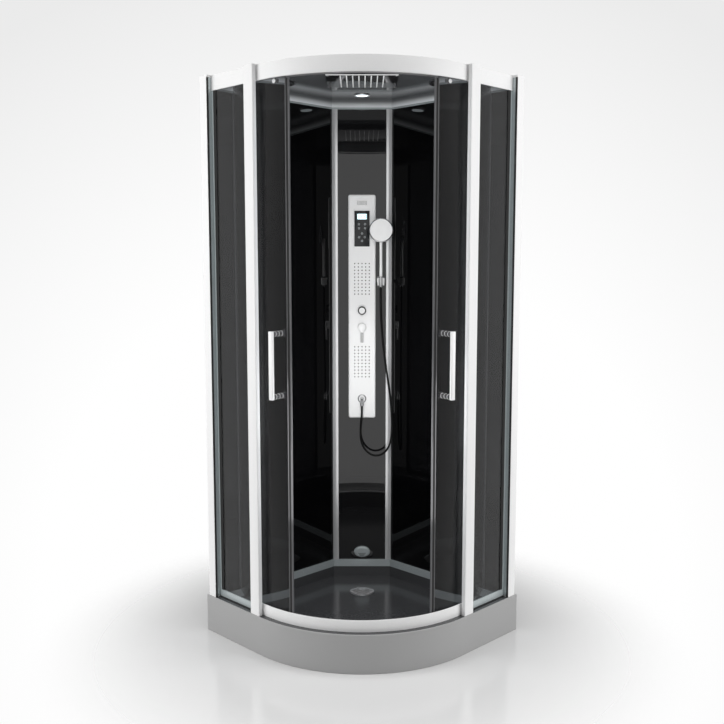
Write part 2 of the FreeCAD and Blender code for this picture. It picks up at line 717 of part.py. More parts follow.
def front_plate(name, half_width, low, high, back, thick):
    """A body in the diagonal frame: an upright plate from its back face towards the front."""
    body = diagonal(new_body(name))
    outline = sketch_on(body, name + "_outline", "XZ_Plane", f"-({back})")
    corners = [(f"-({half_width})", low), (half_width, low), (half_width, high), (f"-({half_width})", high)]
    polygon(outline, corners)
    pad(body, outline, thick)
    return body


def make_column_pane():
    """The chamfer pane between the walls, with a service cut-out behind the shower plate."""
    back = "column_depth + pane"
    body = front_plate("column_panel", COLUMN_HALF, PANE_LOW, PANE_TOP, back, "pane")
    holes = sketch_on(body, "column_holes", "XZ_Plane", "-column_depth")
    half = "cutout_width / 2"
    low, high = "(plate_low + 40)", "(plate_low + plate_length - 40)"
    polygon(holes, [(f"-{half}", low), (half, low), (half, high), (f"-{half}", high)])
    circle_in(holes, "steam_pipe + 2.5", "0", "steam_height")
    pocket(body, holes, "pane")
    return body


def make_column_beads():
    """The upright beads that cover the joints between the column pane and the walls."""
    inner = f"({COLUMN_HALF} - bead_width)"
    front = "(column_depth - bead_proud)"
    wall_line = f"({PANE_FACE} * sqrt(2))"
    outer_depth = "(column_depth - 2.5)"
    points = [
        (inner, "column_depth"),
        (inner, front),
        (f"{inner} + 12", front),
        (f"{wall_line} - {outer_depth}", outer_depth),
        (f"{wall_line} - column_depth", "column_depth"),
    ]
    sides = []
    for name, sign in (("right", ""), ("left", "-1 * ")):
        body = new_body(f"bead_{name}")
        outline = sketch_on(body, f"bead_{name}_outline", "XY_Plane", PANE_LOW)
        polygon(outline, [(f"{sign}({x})", y) for x, y in points])
        pad(body, outline, f"{PANE_TOP} - {PANE_LOW}")
        sides.append(body)
    return diagonal(group("column_profiles", sides))


def make_wall_profile():
    """A white box profile at the free end of each wall, with a lip over the edge of the pane."""
    depth, wall = "profile_depth", "profile_wall"
    tall = "frame_height - tray_height"
    left = f"({POST_OUT} - {depth})"
    width = "(wall_profile_width - profile_lip)"
    shell = block("wall_profile_shell", (depth, width, tall), (left, WALL_PROFILE, "tray_height"))
    lip = block(
        "wall_profile_lip",
        (wall, "profile_lip + 1", tall),
        (f"{POST_OUT} - {wall}", f"{WALL_PROFILE} + {width} - 1", "tray_height"),
    )
    core = block(
        "wall_profile_core",
        (f"{depth} - 2 * {wall}", f"{width} - 2 * {wall}", tall),
        (f"{left} + {wall}", f"{WALL_PROFILE} + {wall}", f"tray_height - {wall}"),
    )
    cap = block(
        "wall_profile_cap",
        (depth, f"jamb + {wall}", "cap_height"),
        (left, f"{WALL_PROFILE} - jamb", "frame_height - cap_height"),
    )
    right = cut("wall_profile_right", fuse("wall_profile_body", [shell, lip, cap]), [core])
    return right, mirrored("wall_profile_left", right)


# ---------------------------------------------------------------- open sides


POST_START = f"({CENTRE_Y} + post_set)"
CHANNEL_START = f"({POST_START} + channel_set)"


def make_post():
    """The white box post between a side pane and the curved front, with a glazing channel behind."""
    wall = "profile_wall"
    outer = block(
        "post_outer",
        ("post_depth", "post_width", "frame_height - tray_height"),
        (f"{POST_OUT} - post_depth", POST_START, "tray_height"),
    )
    channel = block(
        "post_channel",
        ("channel_depth - 1", "post_width - channel_set", f"{CEILING} - tray_height"),
        (f"{POST_OUT} - channel_depth", CHANNEL_START, "tray_height"),
    )
    outer_core = block(
        "post_outer_core",
        (f"post_depth - 2 * {wall}", f"post_width - 2 * {wall}", "frame_height - tray_height"),
        (f"{POST_OUT} - post_depth + {wall}", f"{POST_START} + {wall}", f"tray_height - {wall}"),
    )
    channel_core = block(
        "post_channel_core",
        (
            f"channel_depth - 2 * {wall}",
            f"post_width - channel_set - 2 * {wall}",
            f"{CEILING} - tray_height",
        ),
        (f"{POST_OUT} - channel_depth + {wall}", f"{CHANNEL_START} + {wall}", f"tray_height - {wall}"),
    )
    shell = fuse("post_shell", [outer, channel])
    right = cut("post_right", shell, [outer_core, channel_core])
    return right, mirrored("post_left", right)


SIDE_BACK = f"({HEADER_OUT} - side_frame_depth)"
SIDE_START = f"({POST_START} + post_width)"
SIDE_END = f"({WALL_PROFILE} - jamb)"
STILE_START = f"({SIDE_END} - stile_width)"
SIDE_SILL = "(tray_height + sill_gasket)"
PANE_START = f"({SIDE_SILL} + side_rail_height)"
PANE_INSET = "((side_frame_depth - side_pane) / 2)"


def make_side_headers():
    """The white header over each side pane, with an upstand that hides the edge of the roof."""
    run = f"{SIDE_END} - {SIDE_START}"
    box = block(
        "side_header_box",
        ("side_frame_depth", run, "header_height - skin"),
        (SIDE_BACK, SIDE_START, HEADER_LOW),
    )
    upstand = block(
        "side_header_lip",
        ("fascia_wall", run, "header_height"),
        (f"{HEADER_OUT} - fascia_wall", SIDE_START, HEADER_LOW),
    )
    right = fuse("side_header_right", [box, upstand])
    return group("side_headers", [right, mirrored("side_header_left", right)])


def make_side_frames():
    """The aluminium stile and bottom rail of each side pane, and the jamb on its wall profile."""
    stile = block(
        "stile_right",
        ("side_frame_depth", "stile_width", f"{HEADER_LOW} - {SIDE_SILL}"),
        (SIDE_BACK, STILE_START, SIDE_SILL),
    )
    rail = block(
        "side_rail_right",
        ("side_frame_depth", f"{STILE_START} - {SIDE_START}", "side_rail_height"),
        (SIDE_BACK, SIDE_START, SIDE_SILL),
    )
    jamb = block(
        "jamb_right",
        (
            f"{POST_OUT} - gasket_depth - {SIDE_BACK}",
            "jamb",
            f"frame_height - cap_height - {SIDE_SILL}",
        ),
        (SIDE_BACK, SIDE_END, SIDE_SILL),
    )
    right = fuse("side_frame_right", [stile, rail, jamb])
    return group("side_frames", [right, mirrored("side_frame_left", right)])


def make_side_gaskets():
    """Black rubber at each wall profile, under each side rail and along the upright edges of the glass."""
    upright = block(
        "gasket_upright",
        ("gasket_depth", "jamb", "frame_height - cap_height - tray_height"),
        (f"{POST_OUT} - gasket_depth", SIDE_END, "tray_height"),
    )
    sill = block(
        "gasket_sill",
        ("side_frame_depth - 2", f"{WALL_PROFILE} - {SIDE_START}", "sill_gasket"),
        (f"{SIDE_BACK} + 1", SIDE_START, "tray_height"),
    )
    face = f"({SIDE_BACK} + {PANE_INSET} + side_pane)"
    tall = f"{HEADER_LOW} - {PANE_START}"
    seals = [
        block(
            f"glazing_{name}",
            (f"{HEADER_OUT} - {face}", width, tall),
            (face, start, PANE_START),
        )
        for name, width, start in (
            ("stile", "stile_lip", f"{STILE_START} - stile_lip"),
            ("post", "post_lip", SIDE_START),
        )
    ]
    right = group("gasket_right", [upright, sill, *seals])
    return group("side_gaskets", [right, mirrored("gasket_left", right)])


def make_side_panes():
    right = block(
        "side_glass_right",
        ("side_pane", f"{STILE_START} - {SIDE_START}", f"{HEADER_LOW} - {PANE_START}"),
        (f"{SIDE_BACK} + {PANE_INSET}", SIDE_START, PANE_START),
    )
    return right, mirrored("side_glass_left", right)


def curved_run(name, outer, inner, low, height):
    """A quarter ring that runs on straight into the posts at both ends, before it is turned."""
    end = "(post_set + channel_set)"
    ring = sector(name, outer, inner, low, height, None, "90")
    thick = f"{outer} - ({inner})"
    near = block(name + "_near", (thick, end, height), (inner, f"-{end}", low))
    far = block(name + "_far", (end, thick, height), (f"-{end}", inner, low))
    return fuse(name + "_run", [ring, near, far])


def make_curved_header():
    """The white fascia over the doors: a thin wall, a shelf for the roof and a narrow lower lip."""
    inside = f"({FASCIA_IN} + 0.5)"
    shelf_low = f"{CEILING} - skin"
    parts = [
        curved_run("fascia", FASCIA, FASCIA_IN, HEADER_LOW, "header_height"),
        curved_run("fascia_shelf", inside, TRACK_WEB, shelf_low, "skin"),
        curved_run("fascia_lip", inside, f"({FASCIA_IN} - 4)", HEADER_LOW, "3"),
    ]
    return spoke(fuse("curved_header", parts), "-90")


def make_door_track():
    """The running track: a web under the roof, a wall and the ledge that the wheels roll on.
    It runs on past the posts, so that the open doors stay carried."""
    span = "2 * track_reach"
    web = sector("track_web", TRACK_WEB, "track_inner", f"{CEILING} - skin", "skin", None, span)
    wall = sector(
        "track_side", "track_inner + track_wall", "track_inner", RUN_LOW, f"{CEILING} - {RUN_LOW}", None, span
    )
    ledge = sector(
        "track_ledge", f"{DOOR_IN} - 5", "track_inner", RUN_LOW, "ledge_thick", None, span
    )
    return spoke(fuse("door_track", [web, wall, ledge]), "-45 - track_reach")


def make_curved_rail():
    """The curved rail on the tray: a front wall, a base and the ridge that the door guides follow."""
    low = "tray_height"
    ridge = "sill_base + guide_ridge"
    parts = [
        curved_run("sill_front", FASCIA, f"({FASCIA} - sill_wall)", low, "sill_height"),
        curved_run("sill_floor", f"({FASCIA} - 1)", "track_inner", low, "sill_base"),
        sector("sill_ridge", f"{DOOR_IN} - 6.5", f"{DOOR_IN} - 9.5", low, ridge, None, "90"),
    ]
    return spoke(fuse("curved_rail", parts), "-90")


# ---------------------------------------------------------------- doors

DOOR_START = "door_open - 45"


def door_bolt(name, angle, height, radius):
    """A round piece right through the glass at an angle behind the door's front glass edge."""
    pin = rod(name, radius, "door_glass + 20", (f"{DOOR_IN} - 10", "0", height), "out")
    turned = group(name + "_turned", [pin])
    turned.Placement = FreeCAD.Placement(FreeCAD.Vector(), FreeCAD.Rotation(Z_AXIS, 1))
    turned.setExpression("Placement.Rotation.Angle", formula(f"({angle}) * 1 deg"))
    return turned


HANDLE_STEMS = (
    "handle_middle - handle_length / 2 + stem_radius + 1",
    "handle_middle + handle_length / 2 - stem_radius - 1",
)


def make_door_glass():
    """Curved safety glass with holes for two hangers and the handle."""
    pane = sector(
        "door_pane", DOOR_OUT, DOOR_IN, "door_bottom", "door_top - door_bottom", None, "door_span"
    )
    holes = []
    for hanger in ("lead_hanger", "tail_hanger"):
        for level, height in (("low", "lower_cap"), ("high", WHEEL_HEIGHT)):
            holes.append(door_bolt(f"{hanger}_{level}_hole", hanger, height, "bolt_radius + gap"))
    for number, height in enumerate(HANDLE_STEMS):
        holes.append(door_bolt(f"handle_hole{number}", "handle_angle", height, "4 + gap"))
    right = spoke(cut("door_glass_right", pane, holes), DOOR_START)
    return right, mirrored("door_glass_left", right)


def make_door_seals():
    """The magnetic seal on the front edge of a door and the slim seal on its rear edge."""
    middle = f"({DOOR_IN} + door_glass / 2)"
    tall = "door_top - door_bottom - 40"
    outer, inner = f"{middle} + seal_thick / 2", f"{middle} - seal_thick / 2"
    low = "door_bottom + 2"
    front = sector("seal_front", outer, inner, low, tall, "door_open - 45 - seal_span", "seal_span")
    rear = sector("seal_rear", outer, inner, low, tall, "door_open - 45 + door_span", "tail_span")
    right = group("door_seal_right", [front, rear])
    return right, mirrored("door_seal_left", right)


def make_hanger(name, angle):
    """A hanger bolted through the glass: a plate, the wheel's axle, two caps and an anti-jump pad."""
    plate = block(
        name + "_plate",
        ("3", "24", f"{WHEEL_HEIGHT} - lower_cap + 20"),
        (f"{DOOR_IN} - 3.5", "-12", "lower_cap - 10"),
    )
    pieces = [plate]
    for level, height in (("low", "lower_cap"), ("high", WHEEL_HEIGHT)):
        bolt = rod(
            f"{name}_{level}_bolt", "bolt_radius", "door_glass + 2", (f"{DOOR_IN} - 1", "0", height), "out"
        )
        cap = rod(f"{name}_{level}_cap", "cap_radius", "cap_thick", (DOOR_OUT, "0", height), "out")
        pieces += [bolt, cap]
    inner_end = f"({DOOR_IN} - 3.5 - wheel_width - 6)"
    axle = rod(
        name + "_axle", "axle_radius", "wheel_width + 8", (inner_end, "0", WHEEL_HEIGHT), "out"
    )
    head = rod(name + "_head", "5", "2.5", (inner_end, "0", WHEEL_HEIGHT), "out")
    jump_pad = rod(name + "_pad", "9", "12", (f"{DOOR_IN} - 15", "0", "lower_cap"), "out")
    return spoke(fuse(name, pieces + [axle, head, jump_pad]), f"{DOOR_START} + {angle}")


def make_guide(name, angle):
    """A nylon block under the glass that runs in the curved rail."""
    shoe = block(
        name + "_shoe", ("14", "18", "13"), (f"{DOOR_IN} - 4.5", "-9", "door_bottom - 13")
    )
    return spoke(group(name, [shoe]), f"{DOOR_START} + {angle}")


def make_door_hardware():
    pieces = [
        make_hanger("hanger_lead", "lead_hanger"),
        make_hanger("hanger_tail", "tail_hanger"),
        make_guide("guide_lead", "1.5"),
        make_guide("guide_tail", "10"),
    ]
    right = group("door_hangers_right", pieces)
    return right, mirrored("door_hangers_left", right)


def make_wheel(name, angle):
    """A nylon wheel on its axle, just clear of the running ledge."""
    low = f"({DOOR_IN} - 3.5 - wheel_width - 2)"
    tyre = rod(name + "_tyre", "wheel_radius", "wheel_width", (low, "0", WHEEL_HEIGHT), "out")
    bore = rod(
        name + "_bore", "axle_radius + fit", "wheel_width + 2", (f"{low} - 1", "0", WHEEL_HEIGHT), "out"
    )
    return spoke(cut(name, tyre, [bore]), f"{DOOR_START} + {angle}")


def make_handle():
    """An upright bar on two collared stems, bolted through the glass."""
    bar = block(
        "handle_bar",
        ("bar_thick", "bar_width", "handle_length"),
        (
            f"{DOOR_OUT} + handle_reach - bar_thick / 2",
            "-bar_width / 2",
            "handle_middle - handle_length / 2",
        ),
    )
    pieces = [bar]
    for number, height in enumerate(HANDLE_STEMS):
        stem = rod(f"handle_stem{number}", "stem_radius", "handle_reach", (DOOR_OUT, "0", height), "out")
        pieces.append(stem)
        for collar in range(3):
            place = (f"{DOOR_OUT} + {2 + 18 * collar}", "0", height)
            pieces.append(rod(f"handle_collar{number}{collar}", "stem_radius + 1", "9", place, "out"))
        bolt = rod(f"handle_bolt{number}", "4", "door_glass + 4", (f"{DOOR_IN} - 2", "0", height), "out")
        washer = rod(f"handle_washer{number}", "10", "2.5", (f"{DOOR_IN} - 3", "0", height), "out")
        pieces += [bolt, washer]
    right = spoke(fuse("handle_right", pieces), f"{DOOR_START} + handle_angle")
    return right, mirrored("handle_left", right)


# ---------------------------------------------------------------- roof and ceiling


def make_roof():
    """The acrylic roof: a flat plate on the headers with an edge that hangs down to the top rails."""
    body = new_body("roof")
    roof_plate(body)
    face = f"({PANE_FACE} - 3)"
    depth = "(column_depth - 3)"
    end = f"({CENTRE_X} + {ROOF_EDGE})"
    turn = f"({face} - {depth} * sqrt(2))"
    back_turn = f"({face} + skin - ({depth} + skin) * sqrt(2))"
    edge = sketch_on(body, "roof_edge", "XY_Plane", f"{CEILING} - cornice")
    polygon(
        edge,
        [
            (end, face),
            (end, f"{face} + skin"),
            (back_turn, f"{face} + skin"),
            (f"-({face} + skin)", f"-{back_turn}"),
            (f"-({face} + skin)", f"-{end}"),
            (f"-{face}", f"-{end}"),
            (f"-{face}", f"-{turn}"),
            (turn, face),
        ],
    )
    pad(body, edge, "cornice + skin / 2")
    holes = sketch_on(body, "roof_holes", "XY_Plane", "frame_height")
    shift = "1 / sqrt(2)"
    for x, y, radius in (
        ("0", "lamp_depth", "lamp_radius - 8"),
        ("0", "rain_middle", "10.5"),
        ("0", "column_depth + 17", "9"),
        ("-vent_side", "vent_depth", "50"),
        ("vent_side", "vent_depth", "50"),
    ):
        circle_in(holes, radius, f"({x} - ({y})) * {shift}", f"({x} + {y}) * {shift}")
    pocket(body, holes, "skin")
    return body


def roof_plate(body):
    """The flat plate of the roof, drawn in the room frame as straight sides and one arc."""
    sketch = sketch_on(body, "roof_plate", "XY_Plane", CEILING)
    back = f"({PANE_BACK} + rail_back)"
    size = value(ROOF_EDGE)
    middle = FreeCAD.Vector(value(CENTRE_X), value(CENTRE_Y), 0)
    arc = sketch.addGeometry(
        Part.ArcOfCircle(Part.Circle(middle, Z_AXIS, size), -math.pi / 2, 0), False
    )
    tie(sketch, "DistanceX", arc, 3, CENTRE_X)
    tie(sketch, "DistanceY", arc, 3, CENTRE_Y)
    tie(sketch, "Radius", arc, 0, ROOF_EDGE)
    tie(sketch, "DistanceX", arc, 1, CENTRE_X)
    tie(sketch, "DistanceY", arc, 2, CENTRE_Y)
    edge = f"({CENTRE_X} + {ROOF_EDGE})"
    points = [
        (edge, CENTRE_Y, ""),
        (edge, back, "Vertical y"),
        (f"-{back}", back, "Horizontal x"),
        (f"-{back}", f"-{edge}", "Vertical"),
        (CENTRE_X, f"-{edge}", "Horizontal"),
    ]
    lines_through(sketch, points, (arc, 2), (arc, 1))
    return pad(body, sketch, "skin")


def make_lamp():
    """A recessed ceiling lamp: a rim under the roof, a lens and a can above."""
    at = ("0", "lamp_depth")
    rim = rod("lamp_rim", "lamp_radius", "4", (*at, f"{CEILING} - 4"))
    can = rod("lamp_can", "lamp_radius - 9", "skin + 16", (*at, f"{CEILING} - 1"))
    return diagonal(fuse("ceiling_lamp", [rim, can]))


def make_rain_shower():
    """A flat overhead shower on four studs, with its inlet through the roof."""
    left, front = "-rain_width / 2", "rain_middle - rain_length / 2"
    tray = block("rain_plate", ("rain_width", "rain_length", "rain_thick"), (left, front, "rain_low"))
    pieces = [tray]
    for number, (x, y) in enumerate(((-1, -1), (1, -1), (-1, 1), (1, 1))):
        place = (f"{x} * (rain_width / 2 - 7)", f"rain_middle + {y} * (rain_length / 2 - 8.5)")
        drop = f"{CEILING} - rain_low"
        pieces.append(rod(f"rain_stud{number}", "4", drop, (*place, "rain_low")))
        pieces.append(rod(f"rain_nut{number}", "6", "5", (*place, "rain_low - 4")))
    inlet_length = "frame_height + 15 - rain_low - 1"
    pieces.append(rod("rain_inlet", "10", inlet_length, ("0", "rain_middle", "rain_low + 1")))
    return diagonal(fuse("rain_shower", pieces))


def make_rain_nozzles():
    """Eight silicone nozzle strips under the rain shower."""
    strips = []
    for number in range(8):
        x = f"strip_pitch * {number - 3.5} - 2"
        place = (x, "rain_middle - rain_length / 2 + 10", "rain_low - 2.5")
        strips.append(block(f"strip{number}", ("4", "rain_length - 20", "2.5"), place))
    return diagonal(group("rain_nozzles", strips))


def make_vents():
    """Two round slotted grilles under the ceiling, one over the fan and one over the air inlet."""
    grilles = []
    for side, sign in (("left", "-1"), ("right", "1")):
        middle = (f"{sign} * vent_side", "vent_depth")
        disc = rod(f"vent_disc_{side}", "vent_radius", "8", (*middle, f"{CEILING} - 8"))
        slots = []
        for number in range(5):
            corner = (
                f"{middle[0]} - 38",
                f"vent_depth + {14 * (number - 2) - 3}",
                f"{CEILING} - 9",
            )
            slots.append(block(f"vent_slot_{side}{number}", ("76", "6", "10"), corner))
        grilles.append(cut(f"vent_{side}", disc, slots))
    return diagonal(group("ceiling_grilles", grilles))


def make_fan():
    """The extractor fan on the roof: a square housing with a strut and pin, and its impeller."""
    middle = ("-vent_side", "vent_depth")
    low = "frame_height"
    corner = ("-vent_side - fan_side / 2", "vent_depth - fan_side / 2", low)
    case = block("fan_case", ("fan_side", "fan_side", "fan_height"), corner)
    duct = rod("fan_duct", "52", "fan_height + 2", (*middle, f"{low} - 1"))
    shell = cut("fan_shell", case, [duct])
    strut = block(
        "fan_strut",
        ("fan_side - 4", "10", "3"),
        ("-vent_side - fan_side / 2 + 2", "vent_depth - 5", f"{low} + fan_height - 3"),
    )
    pin = rod("fan_pin", "2", "fan_height - 6", (*middle, f"{low} + 4"))
    housing = diagonal(fuse("fan_housing", [shell, strut, pin]))

    hub = rod("fan_hub", "18", "fan_height - 10", (*middle, f"{low} + 5"))
    blades = [hub]
    for number in range(7):
        blade = block(f"blade{number}", ("34", "3", "fan_height - 14"), ("14", "-1.5", "0"))
        turned = group(f"blade_turned{number}", [blade])
        turned.Placement = FreeCAD.Placement(
            FreeCAD.Vector(), FreeCAD.Rotation(Z_AXIS, 360 * number / 7)
        )
        put(turned, (*middle, f"{low} + 7"))
        blades.append(turned)
    bore = rod("fan_bore", "2 + fit", "fan_height", (*middle, low))
    impeller = diagonal(cut("fan_impeller", fuse("fan_rotor", blades), [bore]))
    return housing, impeller


# ---------------------------------------------------------------- shower plate and fittings


def rounded_outline(sketch, half_width, low, high, corner):
    """An upright rectangle with round corners, tied to its sides and its corner radius."""
    w, a, b, r = value(half_width), value(low), value(high), value(corner)
    centres = [(w - r, a + r, -90), (w - r, b - r, 0), (r - w, b - r, 90), (r - w, a + r, 180)]
    arcs = []
    for x, y, start in centres:
        circle = Part.Circle(FreeCAD.Vector(x, y, 0), Z_AXIS, r)
        angles = math.radians(start), math.radians(start + 90)
        arcs.append(sketch.addGeometry(Part.ArcOfCircle(circle, *angles), False))
    for i, arc in enumerate(arcs):
        following = arcs[(i + 1) % 4]
        points = sketch.getPoint(arc, 2), sketch.getPoint(following, 1)
        line = sketch.addGeometry(Part.LineSegment(*points), False)
        sketch.addConstraint(Sketcher.Constraint("Tangent", arc, 2, line, 1))
        sketch.addConstraint(Sketcher.Constraint("Tangent", line, 2, following, 1))
        sketch.addConstraint(Sketcher.Constraint("Vertical" if i % 2 == 0 else "Horizontal", line))
        if i:
            sketch.addConstraint(Sketcher.Constraint("Equal", arcs[0], arc))
    tie(sketch, "Radius", arcs[0], 0, corner)
    tie(sketch, "DistanceX", arcs[0], 3, f"({half_width}) - ({corner})")
    tie(sketch, "DistanceY", arcs[0], 3, f"({low}) + ({corner})")
    tie(sketch, "DistanceX", arcs[2], 3, f"({corner}) - ({half_width})")
    tie(sketch, "DistanceY", arcs[2], 3, f"({high}) - ({corner})")


def make_shower_plate():
    """The white shell that carries the controls, open at the back and pierced for its fittings."""
    body = diagonal(new_body("shower_plate"))
    high = "(plate_low + plate_length)"
    outline = sketch_on(body, "plate_outline", "XZ_Plane", "-column_depth")
    rounded_outline(outline, "plate_width / 2", "plate_low", high, "plate_corner")
    pad(body, outline, "plate_depth")
    back = sketch_on(body, "plate_back", "XZ_Plane", "-column_depth")
    inner = "plate_width / 2 - plate_wall"
    rounded_outline(
        back, inner, "plate_low + plate_wall", f"{high} - plate_wall", "plate_corner - plate_wall"
    )
    hollow = pocket(body, back, "plate_depth - plate_wall")
    hollow.Reversed = True
    holes = sketch_on(body, "plate_holes", "XZ_Plane", f"-{PLATE_FACE}")
    half = "(control_width / 2 - 3)"
    low, top = "(control_middle - control_length / 2 + 3)", "(control_middle + control_length / 2 - 3)"
    polygon(holes, [(f"-{half}", low), (half, low), (half, top), (f"-{half}", top)])
    circle_in(holes, "12", "0", "diverter_height")
    circle_in(holes, "stem + 4", "0", "mixer_height")
    circle_in(holes, "10", "0", "outlet_height")
    circle_in(holes, "8", "0", "speaker_middle")
    pocket(body, holes, "plate_wall")
    return body


def make_control_unit():
    """The control unit: a dark front on the plate and its case in the plate's recess."""
    front = block(
        "control_front",
        ("control_width", "2", "control_length"),
        ("-control_width / 2", f"{PLATE_FACE} - 2", "control_middle - control_length / 2"),
    )
    case = block(
        "control_case",
        ("control_width - 8", "15", "control_length - 8"),
        ("4 - control_width / 2", f"{PLATE_FACE} - 0.5", "control_middle - control_length / 2 + 4"),
    )
    return diagonal(fuse("control_unit", [front, case]))


def make_speaker():
    """The small loudspeaker: a grille on the plate and its driver behind."""
    grille = block(
        "speaker_grille",
        ("speaker_width", "1", "speaker_height"),
        ("-speaker_width / 2", f"{PLATE_FACE} - 1", "speaker_middle - speaker_height / 2"),
    )
    front = ("0", f"{PLATE_FACE} - 0.5", "speaker_middle")
    neck = rod("speaker_neck", "7.5", "plate_wall + 0.5", front, "back")
    driver = rod("speaker_driver", "14", "10", ("0", f"{PLATE_FACE} + plate_wall", "speaker_middle"), "back")
    return diagonal(fuse("speaker", [grille, neck, driver]))


def make_body_jets():
    """Two fields of five by ten small nozzles on the face of the plate."""
    jets = []
    for field in ("upper_jets", "lower_jets"):
        for across in range(5):
            for up in range(10):
                place = (f"jet_pitch * {across - 2}", PLATE_FACE, f"{field} + jet_rise * {up}")
                jets.append(rod(f"{field}_{across}_{up}", "jet_radius", "1.5", place, "front"))
    return diagonal(group("body_jets", jets))


VALVE_FACE = f"({PLATE_FACE} + plate_wall)"


def make_valve():
    """The mixer and diverter body behind the plate, with its two supply nipples pointing back."""
    low, high = "(mixer_height - 27)", "(diverter_height + 27)"
    body = block("valve_body", ("70", "44", f"{high} - {low}"), ("-35", VALVE_FACE, low))
    nipples = [
        rod(f"nipple_{name}", "10.45", "22", (x, f"{VALVE_FACE} + 42", f"({low} + {high}) / 2"), "back")
        for name, x in (("hot", "-20"), ("cold", "20"))
    ]
    bores = [
        rod("valve_mixer_bore", "stem + fit", "21", ("0", f"{VALVE_FACE} - 1", "mixer_height"), "back"),
        rod("valve_diverter_bore", "5 + fit", "21", ("0", f"{VALVE_FACE} - 1", "diverter_height"), "back"),
    ]
    return diagonal(cut("mixer_valve", fuse("valve_solid", [body, *nipples]), bores))


def make_diverter():
    """The round diverter knob on its spindle."""
    knob = rod("knob_disc", "knob_radius", "12", ("0", f"{PLATE_FACE} - gap", "diverter_height"), "front")
    spindle = rod(
        "knob_spindle",
        "5",
        "plate_wall + 18",
        ("0", f"{PLATE_FACE} - gap - 1", "diverter_height"),
        "back",
    )
    return diagonal(fuse("diverter_knob", [knob, spindle]))


LEVER_PIVOT = "(mixer_height - 11)"


def make_mixer():
    """The mixer cap on its stem, slotted below for the lever, and the lever."""
    cap = rod("cap_round", "cap_disc", "20", ("0", f"{PLATE_FACE} - gap", "mixer_height"), "front")
    stem = rod(
        "cap_stem", "stem", "plate_wall + 18", ("0", f"{PLATE_FACE} - gap - 1", "mixer_height"), "back"
    )
    slot = block(
        "cap_slot",
        ("lever_width + 2 * gap", "14", "cap_disc"),
        ("-lever_width / 2 - gap", f"{PLATE_FACE} - 21", f"{LEVER_PIVOT} + 6 - cap_disc"),
    )
    mixer_cap = diagonal(cut("mixer_cap", fuse("cap_solid", [cap, stem]), [slot]))
    lever = block(
        "lever_blade",
        ("lever_width", "6", "lever_length"),
        ("-lever_width / 2", f"{PLATE_FACE} - 17", f"{LEVER_PIVOT} - lever_length"),
    )
    axis = ("-lever_width / 2", f"{PLATE_FACE} - 14", LEVER_PIVOT)
    knuckle = rod("lever_knuckle", "3", "lever_width", axis, "out")
    return mixer_cap, diagonal(fuse("mixer_lever", [lever, knuckle]))


OUTLET_DEPTH = f"({PLATE_FACE} - 18)"
OUTLET_LOW = "(outlet_height - 31)"


def make_hose_elbow():
    """The hose outlet: a rosette on the plate, a stub, and an elbow that points down."""
    rosette = rod("elbow_rosette", "20", "5", ("0", PLATE_FACE, "outlet_height"), "front")
    stub = rod("elbow_stub", "9", "26", ("0", f"{VALVE_FACE} + 2", "outlet_height"), "front")
    turn = doc.addObject("Part::Sphere", "elbow_turn")
    bind(turn, Radius="9")
    put(turn, ("0", OUTLET_DEPTH, "outlet_height"))
    drop = rod("elbow_drop", "8.5", f"outlet_height - {OUTLET_LOW}", ("0", OUTLET_DEPTH, OUTLET_LOW))
    tail = block("elbow_tail", ("18", "15", "18"), ("-9", VALVE_FACE, "outlet_height - 9"))
    return diagonal(fuse("hose_elbow", [rosette, stub, turn, drop, tail]))


def make_handset():
    """The holder on the column pane, the hose cone that sits in it, and the hand shower."""
    axis = ("holder_side", HOLDER_DEPTH)
    middle = "(cradle_low + cradle_height / 2)"
    foot = rod("holder_foot", "18", "8", ("holder_side", "column_depth", middle), "front")
    arm = rod("holder_arm", "9", "holder_stand - 14", ("holder_side", "column_depth", middle), "front")
    cradle = rod("holder_ring", "cradle_radius", "cradle_height", (*axis, "cradle_low"))
    bore = rod("holder_bore", "12", "cradle_height + 2", (*axis, "cradle_low - 1"))
    mouth = block(
        "holder_mouth",
        ("15", "cradle_radius + 2", "cradle_height + 2"),
        ("holder_side - 7.5", f"{HOLDER_DEPTH} - cradle_radius - 2", "cradle_low - 1"),
    )
    holder = diagonal(cut("handset_holder", fuse("holder_solid", [foot, arm, cradle]), [bore, mouth]))

    top = "(cradle_low + cradle_height + gap)"
    taper = cone("cone_taper", "7", "11", "cone_length", (*axis, f"{top} - cone_length"))
    collar = rod("cone_collar", "14", "5", (*axis, top))
    hose_cone = diagonal(fuse("hose_cone", [taper, collar]))

    grip_low = f"({top} + 5 + gap)"
    grip = rod("grip", "grip_radius", f"head_height - {grip_low}", (*axis, grip_low))
    head_back = f"({HOLDER_DEPTH} - 6)"
    head = rod("head", "head_radius", "head_thick", ("holder_side", head_back, "head_height"), "front")
    boss = rod("head_boss", "grip_radius + 9", "8", ("holder_side", HOLDER_DEPTH, "head_height"), "front")
    return holder, hose_cone, diagonal(fuse("hand_shower", [grip, head, boss]))


# ---------------------------------------------------------------- hoses and pipes


